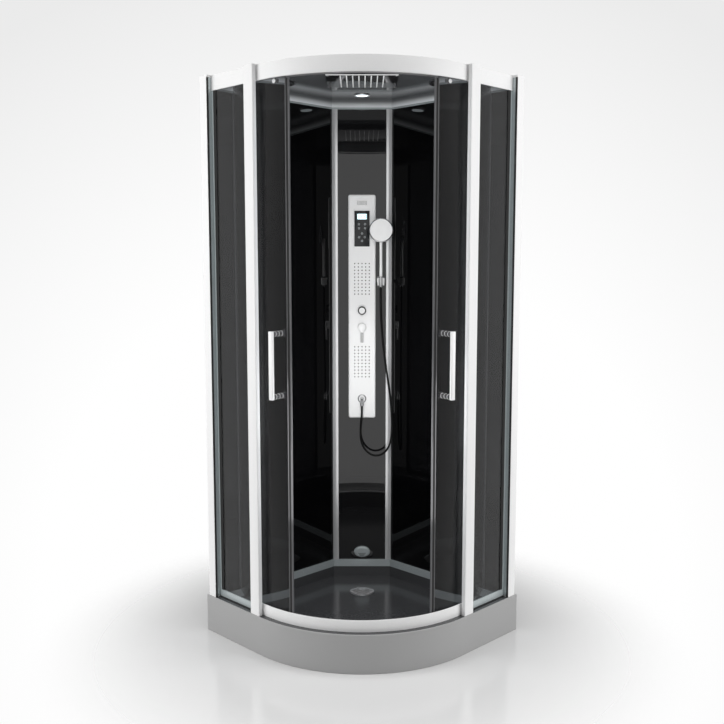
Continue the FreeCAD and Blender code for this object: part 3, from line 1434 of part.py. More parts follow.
def rounded_path(points, radius=None, report=None):
    """A wire of straight runs joined by tangent arcs. With no radius each arc is as large as its runs
    allow: 0.45 of the shorter run over the tangent of half the turn."""
    spots = [FreeCAD.Vector(*p) for p in points]
    edges, start = [], spots[0]
    for before, corner, after in zip(spots, spots[1:], spots[2:]):
        arriving, leaving = corner - before, after - corner
        half_turn = arriving.getAngle(leaving) / 2
        run = 0.45 * min(arriving.Length, leaving.Length)
        bend = radius or run / math.tan(half_turn)
        trim = bend * math.tan(half_turn)
        arriving.normalize()
        leaving.normalize()
        first, last = corner - arriving * trim, corner + leaving * trim
        inward = leaving - arriving
        inward.normalize()
        middle = corner + inward * (bend / math.cos(half_turn) - bend)
        edges.append(Part.LineSegment(start, first).toShape())
        edges.append(Part.Arc(first, middle, last).toShape())
        start = last
        if report is not None:
            report.append(round(bend, 1))
    edges.append(Part.LineSegment(start, spots[-1]).toShape())
    return Part.Wire(edges)


def tube_along(wire, radius):
    """A round tube along a wire."""
    start = wire.Edges[0].firstVertex().Point
    towards = wire.Edges[0].tangentAt(wire.Edges[0].FirstParameter)
    profile = Part.Wire(Part.makeCircle(radius, start, towards))
    return wire.makePipeShell([profile], True, False)


def shape_piece(name, shape):
    piece = doc.addObject("Part::Feature", name)
    piece.Shape = shape
    return diagonal(piece)


def make_shower_hose():
    """The free hose from the elbow down, round its loop and up to the hose cone, in the diagonal frame."""
    elbow = (0, value(OUTLET_DEPTH), value(OUTLET_LOW))
    cone_low = value("cradle_low + cradle_height + gap - cone_length")
    grip = (value("holder_side"), value(HOLDER_DEPTH), cone_low)
    route = [
        elbow,
        (0, 440, 812),
        (-7, 439, 758),
        (-6, 438, 703),
        (14, 436, 659),
        (52, 433, 633),
        (97, 431, 642),
        (127, 430, 684),
        (136, 431, 752),
        (134, 433, 838),
        (124, 433, 934),
        (108, 432, 1034),
        (95, 431, 1138),
        (87, 430, 1240),
        (*grip[:2], 1325),
        grip,
    ]
    radii = []
    wire = rounded_path(route, report=radii)
    shape = tube_along(wire, value("hose / 2"))
    section = math.pi * value("hose / 2") ** 2
    print("hose radii", radii, "smallest", min(radii))
    ratio = shape.Volume / (section * wire.Length)
    print("hose length", round(wire.Length, 1), "volume ratio", round(ratio, 4))
    return shape_piece("shower_hose", shape)


def make_pipes():
    """The fixed pipes: valve to rain shower, valve to hose outlet, and generator to steam outlet."""
    rise = value("column_depth + 17")
    over = value("frame_height + 30")
    valve_top, valve_low = value("diverter_height + 27"), value("mixer_height - 27")
    rain = [
        (0, rise, valve_top),
        (0, rise, over),
        (0, value("rain_middle"), over),
        (0, value("rain_middle"), value("frame_height + 15")),
    ]
    tail = value(f"{VALVE_FACE} + 8")
    drop = [(0, tail, valve_low), (0, tail, value("outlet_height + 9"))]
    steam_low = value("steam_height")
    back = value("column_depth + pane + 40")
    steam = [
        (0, back, value("generator_low")),
        (0, back, steam_low),
        (0, value("column_depth + pane + 10"), steam_low),
    ]
    tubes = [
        tube_along(rounded_path(rain, radius=12), 7),
        tube_along(Part.Wire([Part.LineSegment(*(FreeCAD.Vector(*p) for p in drop)).toShape()]), 6),
        tube_along(rounded_path(steam, radius=20), value("steam_pipe")),
    ]
    return shape_piece("service_pipes", Part.makeCompound(tubes))


def make_steam():
    """The oval steam outlet on the column pane and the generator behind it."""
    outlet = doc.addObject("Part::Feature", "outlet_cap")
    oval = Part.Ellipse(FreeCAD.Vector(), value("outlet_wide"), value("outlet_tall"))
    face = Part.Face(Part.Wire(oval.toShape()))
    face.rotate(FreeCAD.Vector(), X_AXIS, 90)
    outlet.Shape = face.extrude(FreeCAD.Vector(0, -12, 0))
    put(outlet, ("0", "column_depth", "steam_height"))
    behind = ("0", "column_depth - 1", "steam_height")
    nozzle = rod("outlet_nipple", "steam_pipe + 2", "pane + 11", behind, "back")
    steam_outlet = diagonal(fuse("steam_outlet", [outlet, nozzle]))

    half = "generator_width / 2"
    front = "(column_depth + pane + 10)"
    case = block(
        "generator_case",
        ("generator_width", "generator_depth", "generator_height"),
        (f"-{half}", front, "generator_low"),
    )
    tabs = [
        block(
            f"generator_tab{number}",
            ("30", "11", "20"),
            ("-15", "column_depth + pane", f"generator_low + {offset}"),
        )
        for number, offset in enumerate((20, 300))
    ]
    generator = diagonal(fuse("steam_generator", [case, *tabs]))
    return steam_outlet, generator


# ---------------------------------------------------------------- the whole cabin

pieces = [
    make_tray(),
    make_apron(),
    make_support_frame(),
    make_feet(),
    make_waste(),
    make_drain_cover(),
    *make_wall_rails(),
    *make_wall_panes(),
    make_column_pane(),
    make_column_beads(),
    *make_wall_profile(),
    *make_post(),
    make_side_headers(),
    make_side_frames(),
    make_side_gaskets(),
    *make_side_panes(),
    make_curved_header(),
    make_door_track(),
    make_curved_rail(),
    *make_door_glass(),
    *make_door_seals(),
    *make_door_hardware(),
    *make_handle(),
    make_roof(),
    make_lamp(),
    make_rain_shower(),
    make_rain_nozzles(),
    make_vents(),
    *make_fan(),
    make_shower_plate(),
    make_control_unit(),
    make_speaker(),
    make_body_jets(),
    make_valve(),
    make_diverter(),
    *make_mixer(),
    make_hose_elbow(),
    *make_handset(),
    make_shower_hose(),
    make_pipes(),
    *make_steam(),
]
for wheel_place, wheel_angle in (("lead", "lead_hanger"), ("tail", "tail_hanger")):
    wheel = make_wheel(f"wheel_right_{wheel_place}", wheel_angle)
    pieces += [wheel, mirrored(f"wheel_left_{wheel_place}", wheel)]

doc.recompute()
for thing in doc.Objects:
    if {"Invalid", "Error"} & set(thing.State):
        raise RuntimeError(f"{thing.Name} failed: {thing.State}")
for piece in pieces:
    if piece.Shape.isNull() or not piece.Shape.isValid() or not piece.Shape.Solids:
        raise RuntimeError(f"{piece.Name} has no valid solid")

os.makedirs("parts", exist_ok=True)
for piece in pieces:
    piece.Label = piece.Name
    solids = piece.Shape.Solids
    shape = solids[0] if len(solids) == 1 else Part.makeCompound(solids)
    shape.exportStep(os.path.join("parts", piece.Label + ".step"))
print(len(pieces), "pieces written")
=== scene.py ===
import json
import math

import bmesh
import bpy
import numpy as np
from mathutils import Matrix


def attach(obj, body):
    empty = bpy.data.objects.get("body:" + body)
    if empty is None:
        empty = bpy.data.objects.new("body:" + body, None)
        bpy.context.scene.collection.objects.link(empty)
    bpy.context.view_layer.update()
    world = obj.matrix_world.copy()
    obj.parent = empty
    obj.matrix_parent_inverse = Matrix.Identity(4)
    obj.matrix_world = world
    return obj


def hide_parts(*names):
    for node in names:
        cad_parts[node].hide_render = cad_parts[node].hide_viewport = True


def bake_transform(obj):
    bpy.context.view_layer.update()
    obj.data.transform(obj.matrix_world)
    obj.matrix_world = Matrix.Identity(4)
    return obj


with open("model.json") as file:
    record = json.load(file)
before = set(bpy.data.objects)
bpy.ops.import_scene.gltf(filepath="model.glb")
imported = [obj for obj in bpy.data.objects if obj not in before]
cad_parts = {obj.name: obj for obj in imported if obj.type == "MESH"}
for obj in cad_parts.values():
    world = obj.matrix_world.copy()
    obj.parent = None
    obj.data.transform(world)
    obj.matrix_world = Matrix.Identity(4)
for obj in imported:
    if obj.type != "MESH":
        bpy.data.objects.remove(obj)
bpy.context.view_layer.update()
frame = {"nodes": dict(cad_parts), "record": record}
scene = bpy.context.scene

# Shapes are worked out in millimetres and put into their meshes in metres. Three frames are used:
#   room       the cabin's own frame, +Z up, wall sides at -X and +Y, rounded front at +X -Y
#   corner     turned 45 degrees: sideways across the cabin, depth back into the wall corner, height
#   spoke      radius from the rounded front's centre, distance along the curve, height
HALF = math.sqrt(0.5)
ARC = np.array([-100.0, 100.0])
UP, OUT, BACK = (0, 0, 1), (1, 0, 0), (0, 1, 0)
MILLIMETRE = 0.001


# ---------------------------------------------------------------- shapes


def from_corner(p):
    """Corner frame to room: x = (sideways - depth) / root 2, y = (sideways + depth) / root 2."""
    p = np.asarray(p, float)
    return np.stack(((p[..., 0] - p[..., 1]) * HALF, (p[..., 0] + p[..., 1]) * HALF, p[..., 2]), -1)


def on_spoke(angle):
    """A move from the spoke frame at one angle of the round front to the room."""
    c, s = math.cos(math.radians(angle)), math.sin(math.radians(angle))

    def move(p):
        x = ARC[0] + p[..., 0] * c - p[..., 1] * s
        y = ARC[1] + p[..., 0] * s + p[..., 1] * c
        return np.stack((x, y, p[..., 2]), -1)

    return move


def moved(x, y):
    """A move by a level step."""
    return lambda p: p + np.array([x, y, 0])


def left_hand(p):
    """The cabin's mirror plane: x and y change places and signs."""
    return np.stack((-p[..., 1], -p[..., 0], p[..., 2]), -1)


def other_side(p):
    """The same mirror in the corner frame: sideways changes sign."""
    return p * np.array([-1.0, 1.0, 1.0])


SIDES = (("right", ()), ("left", (left_hand,)))


def rounded(corners, reach, steps):
    """Outline of a polygon with circular bends. A bend starts at distance reach before its corner c, at a,
    and ends as far after it, at b. Along it p is the weighted mean of a, c and b with the weights
    (1-t)^2, 2t(1-t)w and t^2, where w is the sine of half the angle between the two sides."""
    c = np.asarray(corners, float)
    far = np.broadcast_to(np.asarray(reach, float), len(c))[:, None]
    back, ahead = np.roll(c, 1, 0) - c, np.roll(c, -1, 0) - c
    back /= np.linalg.norm(back, axis=1, keepdims=True)
    ahead /= np.linalg.norm(ahead, axis=1, keepdims=True)
    w = np.sqrt((1 - (back * ahead).sum(1)) / 2)[:, None, None]
    t = np.linspace(0, 1, steps)[None, :, None]
    a, b, m = (c + back * far)[:, None], (c + ahead * far)[:, None], c[:, None]
    total = (1 - t) ** 2 + 2 * t * (1 - t) * w + t**2
    return (((1 - t) ** 2 * a + 2 * t * (1 - t) * w * m + t**2 * b) / total).reshape(-1, 2)


def box(x0, x1, y0, y1, reach, steps):
    """Outline of a rectangle between two corners, with round bends."""
    return rounded([(x0, y0), (x1, y0), (x1, y1), (x0, y1)], reach, steps)


def oblong(wide, tall, reach, steps, side=0.0, height=0.0):
    """Outline of a rectangle about its middle, with round bends, then shifted to a place."""
    a, b = wide / 2, tall / 2
    return box(-a, a, -b, b, reach, steps) + np.array([side, height], float)


def skin(grid, along=False, ends=False):
    """Quads between the neighbours of a grid of points, whose last column joins the first. Along joins the
    last row to the first, and ends closes the first and last row with a face each."""
    rows, cols = grid.shape[:2]
    n = np.arange(rows * cols).reshape(rows, cols)
    r = np.vstack((n, n[:1])) if along else n
    r = np.hstack((r, r[:, :1]))
    quads = np.stack((r[:-1, :-1], r[:-1, 1:], r[1:, 1:], r[1:, :-1]), -1).reshape(-1, 4).tolist()
    if ends:
        quads += [n[0, ::-1].tolist(), n[-1].tolist()]
    return grid.reshape(-1, 3), quads


def placed(shell, *moves):
    """A shell with moves done to its points, in order."""
    points = shell[0]
    for move in moves:
        points = move(points)
    return (points, *shell[1:])


def all_placed(shells, *moves):
    """Several shells with the same moves."""
    return [placed(shell, *moves) for shell in shells]


def by_finish(*groups):
    """Shells in groups, one for each finish of their piece's list. An empty group skips a finish."""
    return [(shell[0], shell[1], number) for number, group in enumerate(groups) for shell in group]


def upright(outline, low, high):
    """A plan outline carried straight up from one height to another."""
    plan = np.asarray(outline, float)
    rings = [np.column_stack((plan, np.full(len(plan), height, float))) for height in (low, high)]
    return skin(np.stack(rings), ends=True)


def bar(x0, x1, y0, y1, z0, z1, reach):
    """An upright bar with a rectangular plan."""
    return upright(box(x0, x1, y0, y1, reach, 4), z0, z1)


def front_sweep(profile, first, last, steps, straight=0.0):
    """A (radius, height) profile carried round the front: p = centre + radius (cos a, sin a). With straight,
    the profile runs on past both ends along the tangents by that length."""
    a = np.radians(np.linspace(first, last, steps))
    out = np.stack((np.cos(a), np.sin(a)), -1)
    base = np.repeat(ARC[None], steps, 0)
    if straight:
        turn = np.stack((out[:, 1], -out[:, 0]), -1)
        base = np.vstack((ARC + straight * turn[:1], base, ARC - straight * turn[-1:]))
        out = np.vstack((out[:1], out, out[-1:]))
    profile = np.asarray(profile, float)
    plan = base[:, None] + out[:, None] * profile[None, :, :1]
    z = np.broadcast_to(profile[None, :, 1:], (*plan.shape[:2], 1))
    return skin(np.concatenate((plan, z), -1), ends=True)


def turned(profile, at, along, sides, ring=False):
    """A (radius, distance) profile turned about the line through at: p = at + distance * along +
    radius (u cos a + v sin a). A ring's profile is closed on itself."""
    along = np.asarray(along, float) / np.linalg.norm(along)
    u = np.cross(along, (0.3, 0.5, 0.81))
    u /= np.linalg.norm(u)
    v = np.cross(along, u)
    a = np.arange(sides) * 2 * math.pi / sides
    circle = np.cos(a)[:, None] * u + np.sin(a)[:, None] * v
    p = np.asarray(profile, float)
    grid = np.asarray(at, float) + p[:, None, 1:] * along + p[:, None, :1] * circle[None]
    return skin(grid, along=ring)


def pipe(points, radius, sides, level=BACK):
    """A round tube: at each point of the line a circle square to it, kept level against one direction."""
    line = np.asarray(points, float)
    ahead = np.gradient(line, axis=0)
    ahead /= np.linalg.norm(ahead, axis=1, keepdims=True)
    side = np.cross(ahead, level)
    side /= np.linalg.norm(side, axis=1, keepdims=True)
    up = np.cross(side, ahead)
    a = (np.arange(sides) * 2 * math.pi / sides)[None, :, None]
    r = np.broadcast_to(np.asarray(radius, float), len(line))[:, None, None]
    return skin(line[:, None] + r * (np.cos(a) * side[:, None] + np.sin(a) * up[:, None]), ends=True)


def pillow(outline, levels, axes):
    """Copies of an outline, each scaled about its middle by an inset and set at a distance:
    p = middle + outline * (1 - inset / half size), for (inset, distance) in levels. Axes names
    which coordinates take the outline's two numbers and the distance."""
    plan = np.asarray(outline, float)
    middle = (plan.max(0) + plan.min(0)) / 2
    half = (plan.max(0) - plan.min(0)) / 2
    lv = np.asarray(levels, float)
    scale = 1 - lv[:, :1] / half[None]
    grid = np.empty((len(lv), len(plan), 3))
    flat = middle + (plan - middle)[None] * scale[:, None]
    grid[..., axes[0]], grid[..., axes[1]] = flat[..., 0], flat[..., 1]
    grid[..., axes[2]] = lv[:, 1][:, None]
    return skin(grid, ends=True)


def repeated(shell, shifts):
    """One shell copied to every shift."""
    points, faces = shell[:2]
    shifts = np.asarray(shifts, float)
    many = (points[None] + shifts[:, None]).reshape(-1, 3)
    step = len(points)
    out = []
    for size in {len(f) for f in faces}:
        one = np.array([f for f in faces if len(f) == size])
        out += (one[None] + (np.arange(len(shifts)) * step)[:, None, None]).reshape(-1, size).tolist()
    return many, out


def stage_object(name, data):
    """An object of the scene with a mesh, lamp, camera or curve in it."""
    thing = bpy.data.objects.new(name, data)
    scene.collection.objects.link(thing)
    return thing


def merge_seams(mesh, outwards=True):
    """Joins the points that lie on each other, and turns all faces outwards."""
    work = bmesh.new()
    work.from_mesh(mesh)
    bmesh.ops.remove_doubles(work, verts=work.verts, dist=1e-6)
    if outwards:
        bmesh.ops.recalc_face_normals(work, faces=work.faces)
    work.to_mesh(mesh)
    work.free()


def piece(name, shells, node, slot, finishes=None, bevel=0.0, angle=34, body="cabin"):
    """One object out of closed shells, with soft edges where bevel is given. It rides on a body, covers a
    CAD node and takes its slot's finish, or a list of finishes that its shells number."""
    points, faces, numbers, count = [], [], [], 0
    for shell in shells:
        points.append(shell[0])
        faces += [[i + count for i in face] for face in shell[1]]
        numbers += [shell[2] if len(shell) > 2 else 0] * len(shell[1])
        count += len(shell[0])
    mesh = bpy.data.meshes.new(name)
    mesh.from_pydata(np.vstack(points) * MILLIMETRE, [], faces)
    mesh.polygons.foreach_set("material_index", numbers)
    merge_seams(mesh)
    mesh.shade_smooth()
    mesh.set_sharp_from_angle(angle=math.radians(angle))
    thing = stage_object(name, mesh)
    for finish in finishes or [slot]:
        mesh.materials.append(FINISH[finish])
    if bevel:
        edge = thing.modifiers.new("soft_edges", "BEVEL")
        edge.width, edge.segments, edge.limit_method = bevel * MILLIMETRE, 2, "ANGLE"
        edge.angle_limit = math.radians(angle)
        edge.harden_normals = True
    if body:
        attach(thing, body)
    if node:
        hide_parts(node)
    return thing


# ---------------------------------------------------------------- camera

CAMERA_PLACE = (2.518, -2.518, 1.513)
CAMERA_DOWN = 6.43
LENS, SENSOR = 44.6, 36.0


def make_camera():
    """Stands on the corner's diagonal, 3.56 m before the cabin's middle, and looks a little down."""
    camera = bpy.data.cameras.new("photo_camera")
    camera.lens, camera.sensor_width = LENS, SENSOR
    holder = stage_object("photo_camera", camera)
    holder.location = CAMERA_PLACE
    holder.rotation_euler = (math.radians(90 - CAMERA_DOWN), 0, math.radians(45))
    scene.camera = holder


make_camera()


# ---------------------------------------------------------------- finishes


def add_node(tree, kind, feeds=None, **settings):
    """A shader node with its settings. Feeds give its sockets a number or another node's output."""
    node = tree.nodes.new("ShaderNode" + kind)
    for setting, choice in settings.items():
        setattr(node, setting, choice)
    for socket, source in (feeds or {}).items():
        if isinstance(source, bpy.types.NodeSocket):
            tree.links.new(source, node.inputs[socket])
        else:
            node.inputs[socket].default_value = source
    return node


def add_math(tree, operation, first, second, clamp=False):
    """The result of one sum on two numbers."""
    return add_node(tree, "Math", {0: first, 1: second}, operation=operation, use_clamp=clamp).outputs[0]


def object_place(tree):
    """The place of a point in its object's own frame."""
    return add_node(tree, "TexCoord").outputs["Object"]


def object_height(tree):
    """Its height alone, which is the height in the room."""
    return add_node(tree, "SeparateXYZ", {0: object_place(tree)}).outputs["Z"]


def effect(name, inputs, output):
    """An empty shader group with named sockets: its tree, its incoming node and its outgoing node."""
    tree = bpy.data.node_groups.new(name, "ShaderNodeTree")
    for label, kind, start in inputs:
        socket = tree.interface.new_socket(label, in_out="INPUT", socket_type="NodeSocket" + kind)
        if start is not None:
            socket.default_value = start
    for label in output:
        tree.interface.new_socket(label, in_out="OUTPUT", socket_type="NodeSocketFloat")
    return tree, tree.nodes.new("NodeGroupInput").outputs, tree.nodes.new("NodeGroupOutput").inputs


def fine_grain():
    """Stretched noise: the scaled place goes through a noise, which gives a shade and a height."""
    sockets = [("Place", "Vector", None), ("Stretch", "Vector", (1, 1, 1)), ("Scale", "Float", 100)]
    tree, given, result = effect("fine_grain", sockets, ["Shade", "Height"])
    stretch = add_node(tree, "VectorMath", {0: given["Place"], 1: given["Stretch"]}, operation="MULTIPLY")
    noise = add_node(tree, "TexNoise", {"Vector": stretch.outputs[0], "Scale": given["Scale"], "Detail": 4})
    tree.links.new(noise.outputs["Fac"], result["Shade"])
    tree.links.new(noise.outputs["Fac"], result["Height"])
    return tree


def drying_marks():
    """Faint drops left by water: round spots about the middles of cells, kept where a wide noise is high."""
    sockets = [("Place", "Vector", None), ("Scale", "Float", 30), ("Amount", "Float", 0.5)]
    tree, given, result = effect("drying_marks", sockets, ["Mask"])
    place = {"Vector": given["Place"], "Scale": given["Scale"]}
    away = add_node(tree, "TexVoronoi", place | {"Randomness": 1.0}).outputs["Distance"]
    drop = {"Value": away, "From Min": 0.1, "From Max": 0.26, "To Min": 1.0, "To Max": 0.0}
    spots = add_node(tree, "MapRange", drop).outputs[0]
    wide = add_node(tree, "TexNoise", {"Vector": given["Place"], "Scale": 3.0}).outputs["Fac"]
    kept = add_node(tree, "MapRange", {"Value": wide, "From Min": 0.45, "From Max": 0.7}).outputs[0]
    share = add_math(tree, "MULTIPLY", spots, kept)
    tree.links.new(add_math(tree, "MULTIPLY", share, given["Amount"]), result["Mask"])
    return tree


GRAIN = fine_grain()
MARKS = drying_marks()
MARK_SCALE = 55.0
GRAIN_DEPTH = 0.0005
FINISH = {}


def surface(name, colour, second, rough, scale, bump=0.0, stretch=(1, 1, 1), marks=0.0, **plain):
    """A Principled surface. Grain moves its colour from the first to the second and its roughness between
    two values, water marks make it a little rougher, and plain sockets take their numbers directly.
    A colour given as one number is a neutral grey."""
    first, last = ((*np.broadcast_to(shade, 3).tolist(), 1) for shade in (colour, second))
    material = bpy.data.materials.new(name)
    material.use_nodes = True
    tree = material.node_tree
    link, sockets = tree.links.new, tree.nodes["Principled BSDF"].inputs
    place = object_place(tree)
    grain = add_node(tree, "Group", {"Place": place, "Stretch": stretch, "Scale": scale}, node_tree=GRAIN)
    share = grain.outputs["Shade"]
    blend = add_node(tree, "Mix", {"Factor": share, "A": first, "B": last}, data_type="RGBA")
    link(blend.outputs["Result"], sockets["Base Color"])
    level = add_node(tree, "MapRange", {"Value": share, "To Min": rough[0], "To Max": rough[1]}).outputs[0]
    spot = add_node(tree, "Group", {"Place": place, "Scale": MARK_SCALE, "Amount": marks}, node_tree=MARKS)
    link(add_math(tree, "ADD", level, spot.outputs["Mask"], clamp=True), sockets["Roughness"])
    if bump:
        relief = {"Strength": bump, "Distance": GRAIN_DEPTH, "Height": grain.outputs["Height"]}
        link(add_node(tree, "Bump", relief).outputs["Normal"], sockets["Normal"])
    for socket, number in plain.items():
        sockets[socket.replace("_", " ")].default_value = number
    FINISH[name] = material
    return material


def bow(material):
    """A sheet that bows out a little over its height: depth falls by (height - middle)^2 / (2 radius),
    which shrinks the reflections in it."""
    radius, middle = 16.0, 1.25
    tree = material.node_tree
    off = add_math(tree, "SUBTRACT", object_height(tree), middle)
    fall = add_math(tree, "MULTIPLY", add_math(tree, "POWER", off, 2.0), -1 / (2 * radius))
    relief = add_node(tree, "Bump", {"Strength": 1.0, "Distance": 1.0, "Height": fall})
    tree.links.new(relief.outputs["Normal"], tree.nodes["Principled BSDF"].inputs["Normal"])


def pale_below(material, low, high, colour):
    """Moves a surface to another colour from one height down to a lower one."""
    tree = material.node_tree
    base = tree.nodes["Principled BSDF"].inputs["Base Color"]
    height = object_height(tree)
    fall = {"Value": height, "From Min": low, "From Max": high, "To Min": 1.0, "To Max": 0.0}
    share = add_node(tree, "MapRange", fall, interpolation_type="SMOOTHSTEP").outputs[0]
    colours = {"Factor": share, "A": base.links[0].from_socket, "B": (*colour, 1)}
    tree.links.new(add_node(tree, "Mix", colours, data_type="RGBA").outputs["Result"], base)


def pane(name, tint, index):
    """Clear tinted glass. Rays that only carry light pass straight through in the shade, so that the
    cabin is lit as through real glass."""
    shade = (0.8, 0.81, 0.82, 1)
    material = surface(name, tint, tint, (0.0, 0.0), 4, Transmission_Weight=1.0, IOR=index)
    tree = material.node_tree
    path = add_node(tree, "LightPath").outputs
    light_only = add_math(tree, "MAXIMUM", path["Is Shadow Ray"], path["Is Diffuse Ray"])
    clear = add_node(tree, "BsdfTransparent", {"Color": shade}).outputs[0]
    mix = add_node(tree, "MixShader", {0: light_only, 1: tree.nodes["Principled BSDF"].outputs[0], 2: clear})
    tree.links.new(mix.outputs[0], tree.nodes["Material Output"].inputs["Surface"])


def make_finishes():
    """Every finish of the cabin, by its slot's name, and a few that only the scene's pieces use."""
    surface("tray_acrylic", (0.05, 0.051, 0.054), (0.06, 0.061, 0.064), (0.13, 0.2), 90, 0.02)
    roof = surface("roof_acrylic", (0.105, 0.11, 0.115), (0.12, 0.125, 0.13), (0.07, 0.11), 70, 0.01)
    pale_below(roof, low=2.181, high=2.212, colour=(0.84, 0.87, 0.89))
    surface("apron_silver", 0.33, 0.36, (0.34, 0.42), 900, 0.08)
    surface("galvanised_steel", (0.42, 0.43, 0.44), (0.62, 0.63, 0.64), (0.35, 0.55), 45, 0.2, Metallic=0.9)
    surface("white_plastic", 0.82, 0.84, (0.16, 0.24), 120, 0.03, marks=0.05)
    surface("white_silicone", (0.72, 0.73, 0.74), 0.8, (0.5, 0.6), 200, 0.1)
    surface("grey_silicone", 0.09, 0.12, (0.45, 0.6), 200, 0.1)
    surface("chrome", (0.82, 0.82, 0.83), (0.88, 0.88, 0.89), (0.04, 0.09), 80, marks=0.06, Metallic=1.0)
    bow(surface("black_glass", (0.0015, 0.0015, 0.0018), (0.002, 0.002, 0.0023), (0.01, 0.02), 6, IOR=1.55))
    bow(surface("grey_glass", (0.006, 0.006, 0.0065), (0.008, 0.008, 0.0085), (0.01, 0.02), 6, IOR=1.68))
    surface(
        "bright_aluminium", (0.8, 0.8, 0.81), (0.88, 0.88, 0.89), (0.2, 0.3), 14, 0.1,
        stretch=(60, 60, 0.6), Metallic=0.6,
    )
    surface("grey_aluminium", (0.47, 0.52, 0.53), (0.51, 0.56, 0.57), (0.22, 0.3), 700, 0.03, Metallic=0.4)
    surface("white_aluminium", 0.8, 0.83, (0.24, 0.32), 700, 0.04, marks=0.04)
    surface("black_rubber", 0.008, 0.016, (0.5, 0.65), 180, 0.2)
    surface("clear_seal", (0.1, 0.1, 0.105), (0.14, 0.14, 0.145), (0.25, 0.35), 90, 0.05)
    # Near-black: the diverter's ring and the door seals' groove take it, and on the mixer lever's two lines
    # it is painted shade for the lever's shaded sides.
    surface("near_black_and_painted_shade", 0.004, 0.007, (0.5, 0.6), 90)
    surface("pull_bar", 0.93, 0.96, (0.2, 0.28), 60, Metallic=0.1)
    surface("black_plastic", (0.012, 0.012, 0.013), (0.02, 0.02, 0.021), (0.3, 0.42), 300, 0.1)
    surface("black_hose", 0.003, 0.006, (0.45, 0.55), 260, 0.12, IOR=1.32)
    surface("brass_body", (0.5, 0.36, 0.16), (0.66, 0.5, 0.26), (0.3, 0.5), 120, 0.2, Metallic=1.0)
    surface("copper_pipe", (0.6, 0.3, 0.18), (0.72, 0.4, 0.26), (0.22, 0.4), 60, 0.08, Metallic=1.0)
    surface("nylon", (0.7, 0.7, 0.67), (0.76, 0.76, 0.73), (0.35, 0.5), 200, 0.06)
    surface(
        "satin_chrome", (0.68, 0.68, 0.69), (0.76, 0.76, 0.77), (0.16, 0.22), 80, marks=0.05, Metallic=0.8)
    surface(
        "mirror_plate", (0.15, 0.15, 0.155), (0.17, 0.17, 0.175), (0.1, 0.16), 40, marks=0.04, Metallic=0.9)
    surface("gloss_black", (0.012, 0.013, 0.014), (0.016, 0.017, 0.018), (0.05, 0.1), 30, marks=0.03)
    surface("key_print", (0.42, 0.45, 0.46), (0.5, 0.53, 0.54), (0.4, 0.5), 300)
    surface("display_ink", (0.03, 0.05, 0.07), (0.04, 0.06, 0.08), (0.4, 0.5), 300)
    surface(
        "display_light", (0.6, 0.85, 0.9), (0.7, 0.9, 0.95), (0.2, 0.3), 200,
        Emission_Color=(0.68, 0.93, 1.0, 1), Emission_Strength=0.95,
    )
    surface(
        "lamp_lens", (0.8, 0.9, 0.92), (0.85, 0.93, 0.95), (0.2, 0.3), 400,
        Emission_Color=(0.86, 0.96, 1.0, 1), Emission_Strength=1.6,
    )
    pane("tinted_glass", tint=(0.5, 0.51, 0.52), index=1.34)
    pane("door_tint", tint=(0.48, 0.48, 0.49), index=1.26)


make_finishes()


# ---------------------------------------------------------------- hose

HOSE_ROUTE = (
    (0, 440, 862), (0, 440, 812), (-7, 439, 758), (-6, 438, 703), (14, 436, 659), (52, 433, 633),
    (97, 431, 642), (127, 430, 684), (136, 431, 752), (134, 433, 838), (124, 433, 934), (108, 432, 1034),
    (95, 431, 1138), (87, 430, 1240), (83.8, 430, 1325), (83.8, 430, 1398.3),
)
HOSE_RADIUS = 4.5


def smooth_line(route):
    """The points of one smooth curve of the third order through a route's corners, in metres."""
    curve = bpy.data.curves.new("hose_line", "CURVE")
    curve.dimensions, curve.resolution_u = "3D", 12
    spline = curve.splines.new("NURBS")
    spline.points.add(len(route) - 1)
    spline.points.foreach_set("co", np.hstack((route, np.ones((len(route), 1)))).ravel())
    spline.order_u, spline.use_endpoint_u = 3, True
    line = stage_object("hose_line", curve)
    bpy.context.view_layer.update()
    drawn = bpy.data.meshes.new_from_object(line)
    path = np.empty(len(drawn.vertices) * 3)
    drawn.vertices.foreach_get("co", path)
    bpy.data.objects.remove(line)
    bpy.data.meshes.remove(drawn)
    return path.reshape(-1, 3)


def make_hose():
    """The free hose: a tube along its route."""
    route = from_corner(HOSE_ROUTE) * MILLIMETRE
    path = smooth_line(route)
    depth = tuple(from_corner(np.array(BACK)))
    tube = pipe(path / MILLIMETRE, HOSE_RADIUS, 20, depth)
    hose = piece("shower_hose_tube", [tube], "shower_hose", "black_hose", body=None)
    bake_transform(hose)


make_hose()


# ---------------------------------------------------------------- sizes that several pieces share

FRAME_FOOT = 150
GLAZING_FOOT = 155
HEADER_FOOT = 2162
CEILING = 2215
FRAME_TOP = 2220
FRAME_FACE = 446
GLAZING_BACK, GLAZING_FACE = 416.5, 425
POST_EDGE, WALL_EDGE = 167.5, 394
FRONT = {"first": -90, "last": 0, "steps": 72}
FRONT_RUN_ON = 35
COLUMN_FACE = 478
PLATE_FACE = 458


# ---------------------------------------------------------------- tray, apron and waste


def make_apron():
    """A silver strip with soft edges round the front and along both sides."""
    profile = box(545.2, 550, 0, FRAME_FOOT, (0.3, 1.6, 2.2, 0.3), 6)
    piece("apron_strip", [front_sweep(profile, **FRONT, straight=350)], "apron", "apron_silver")


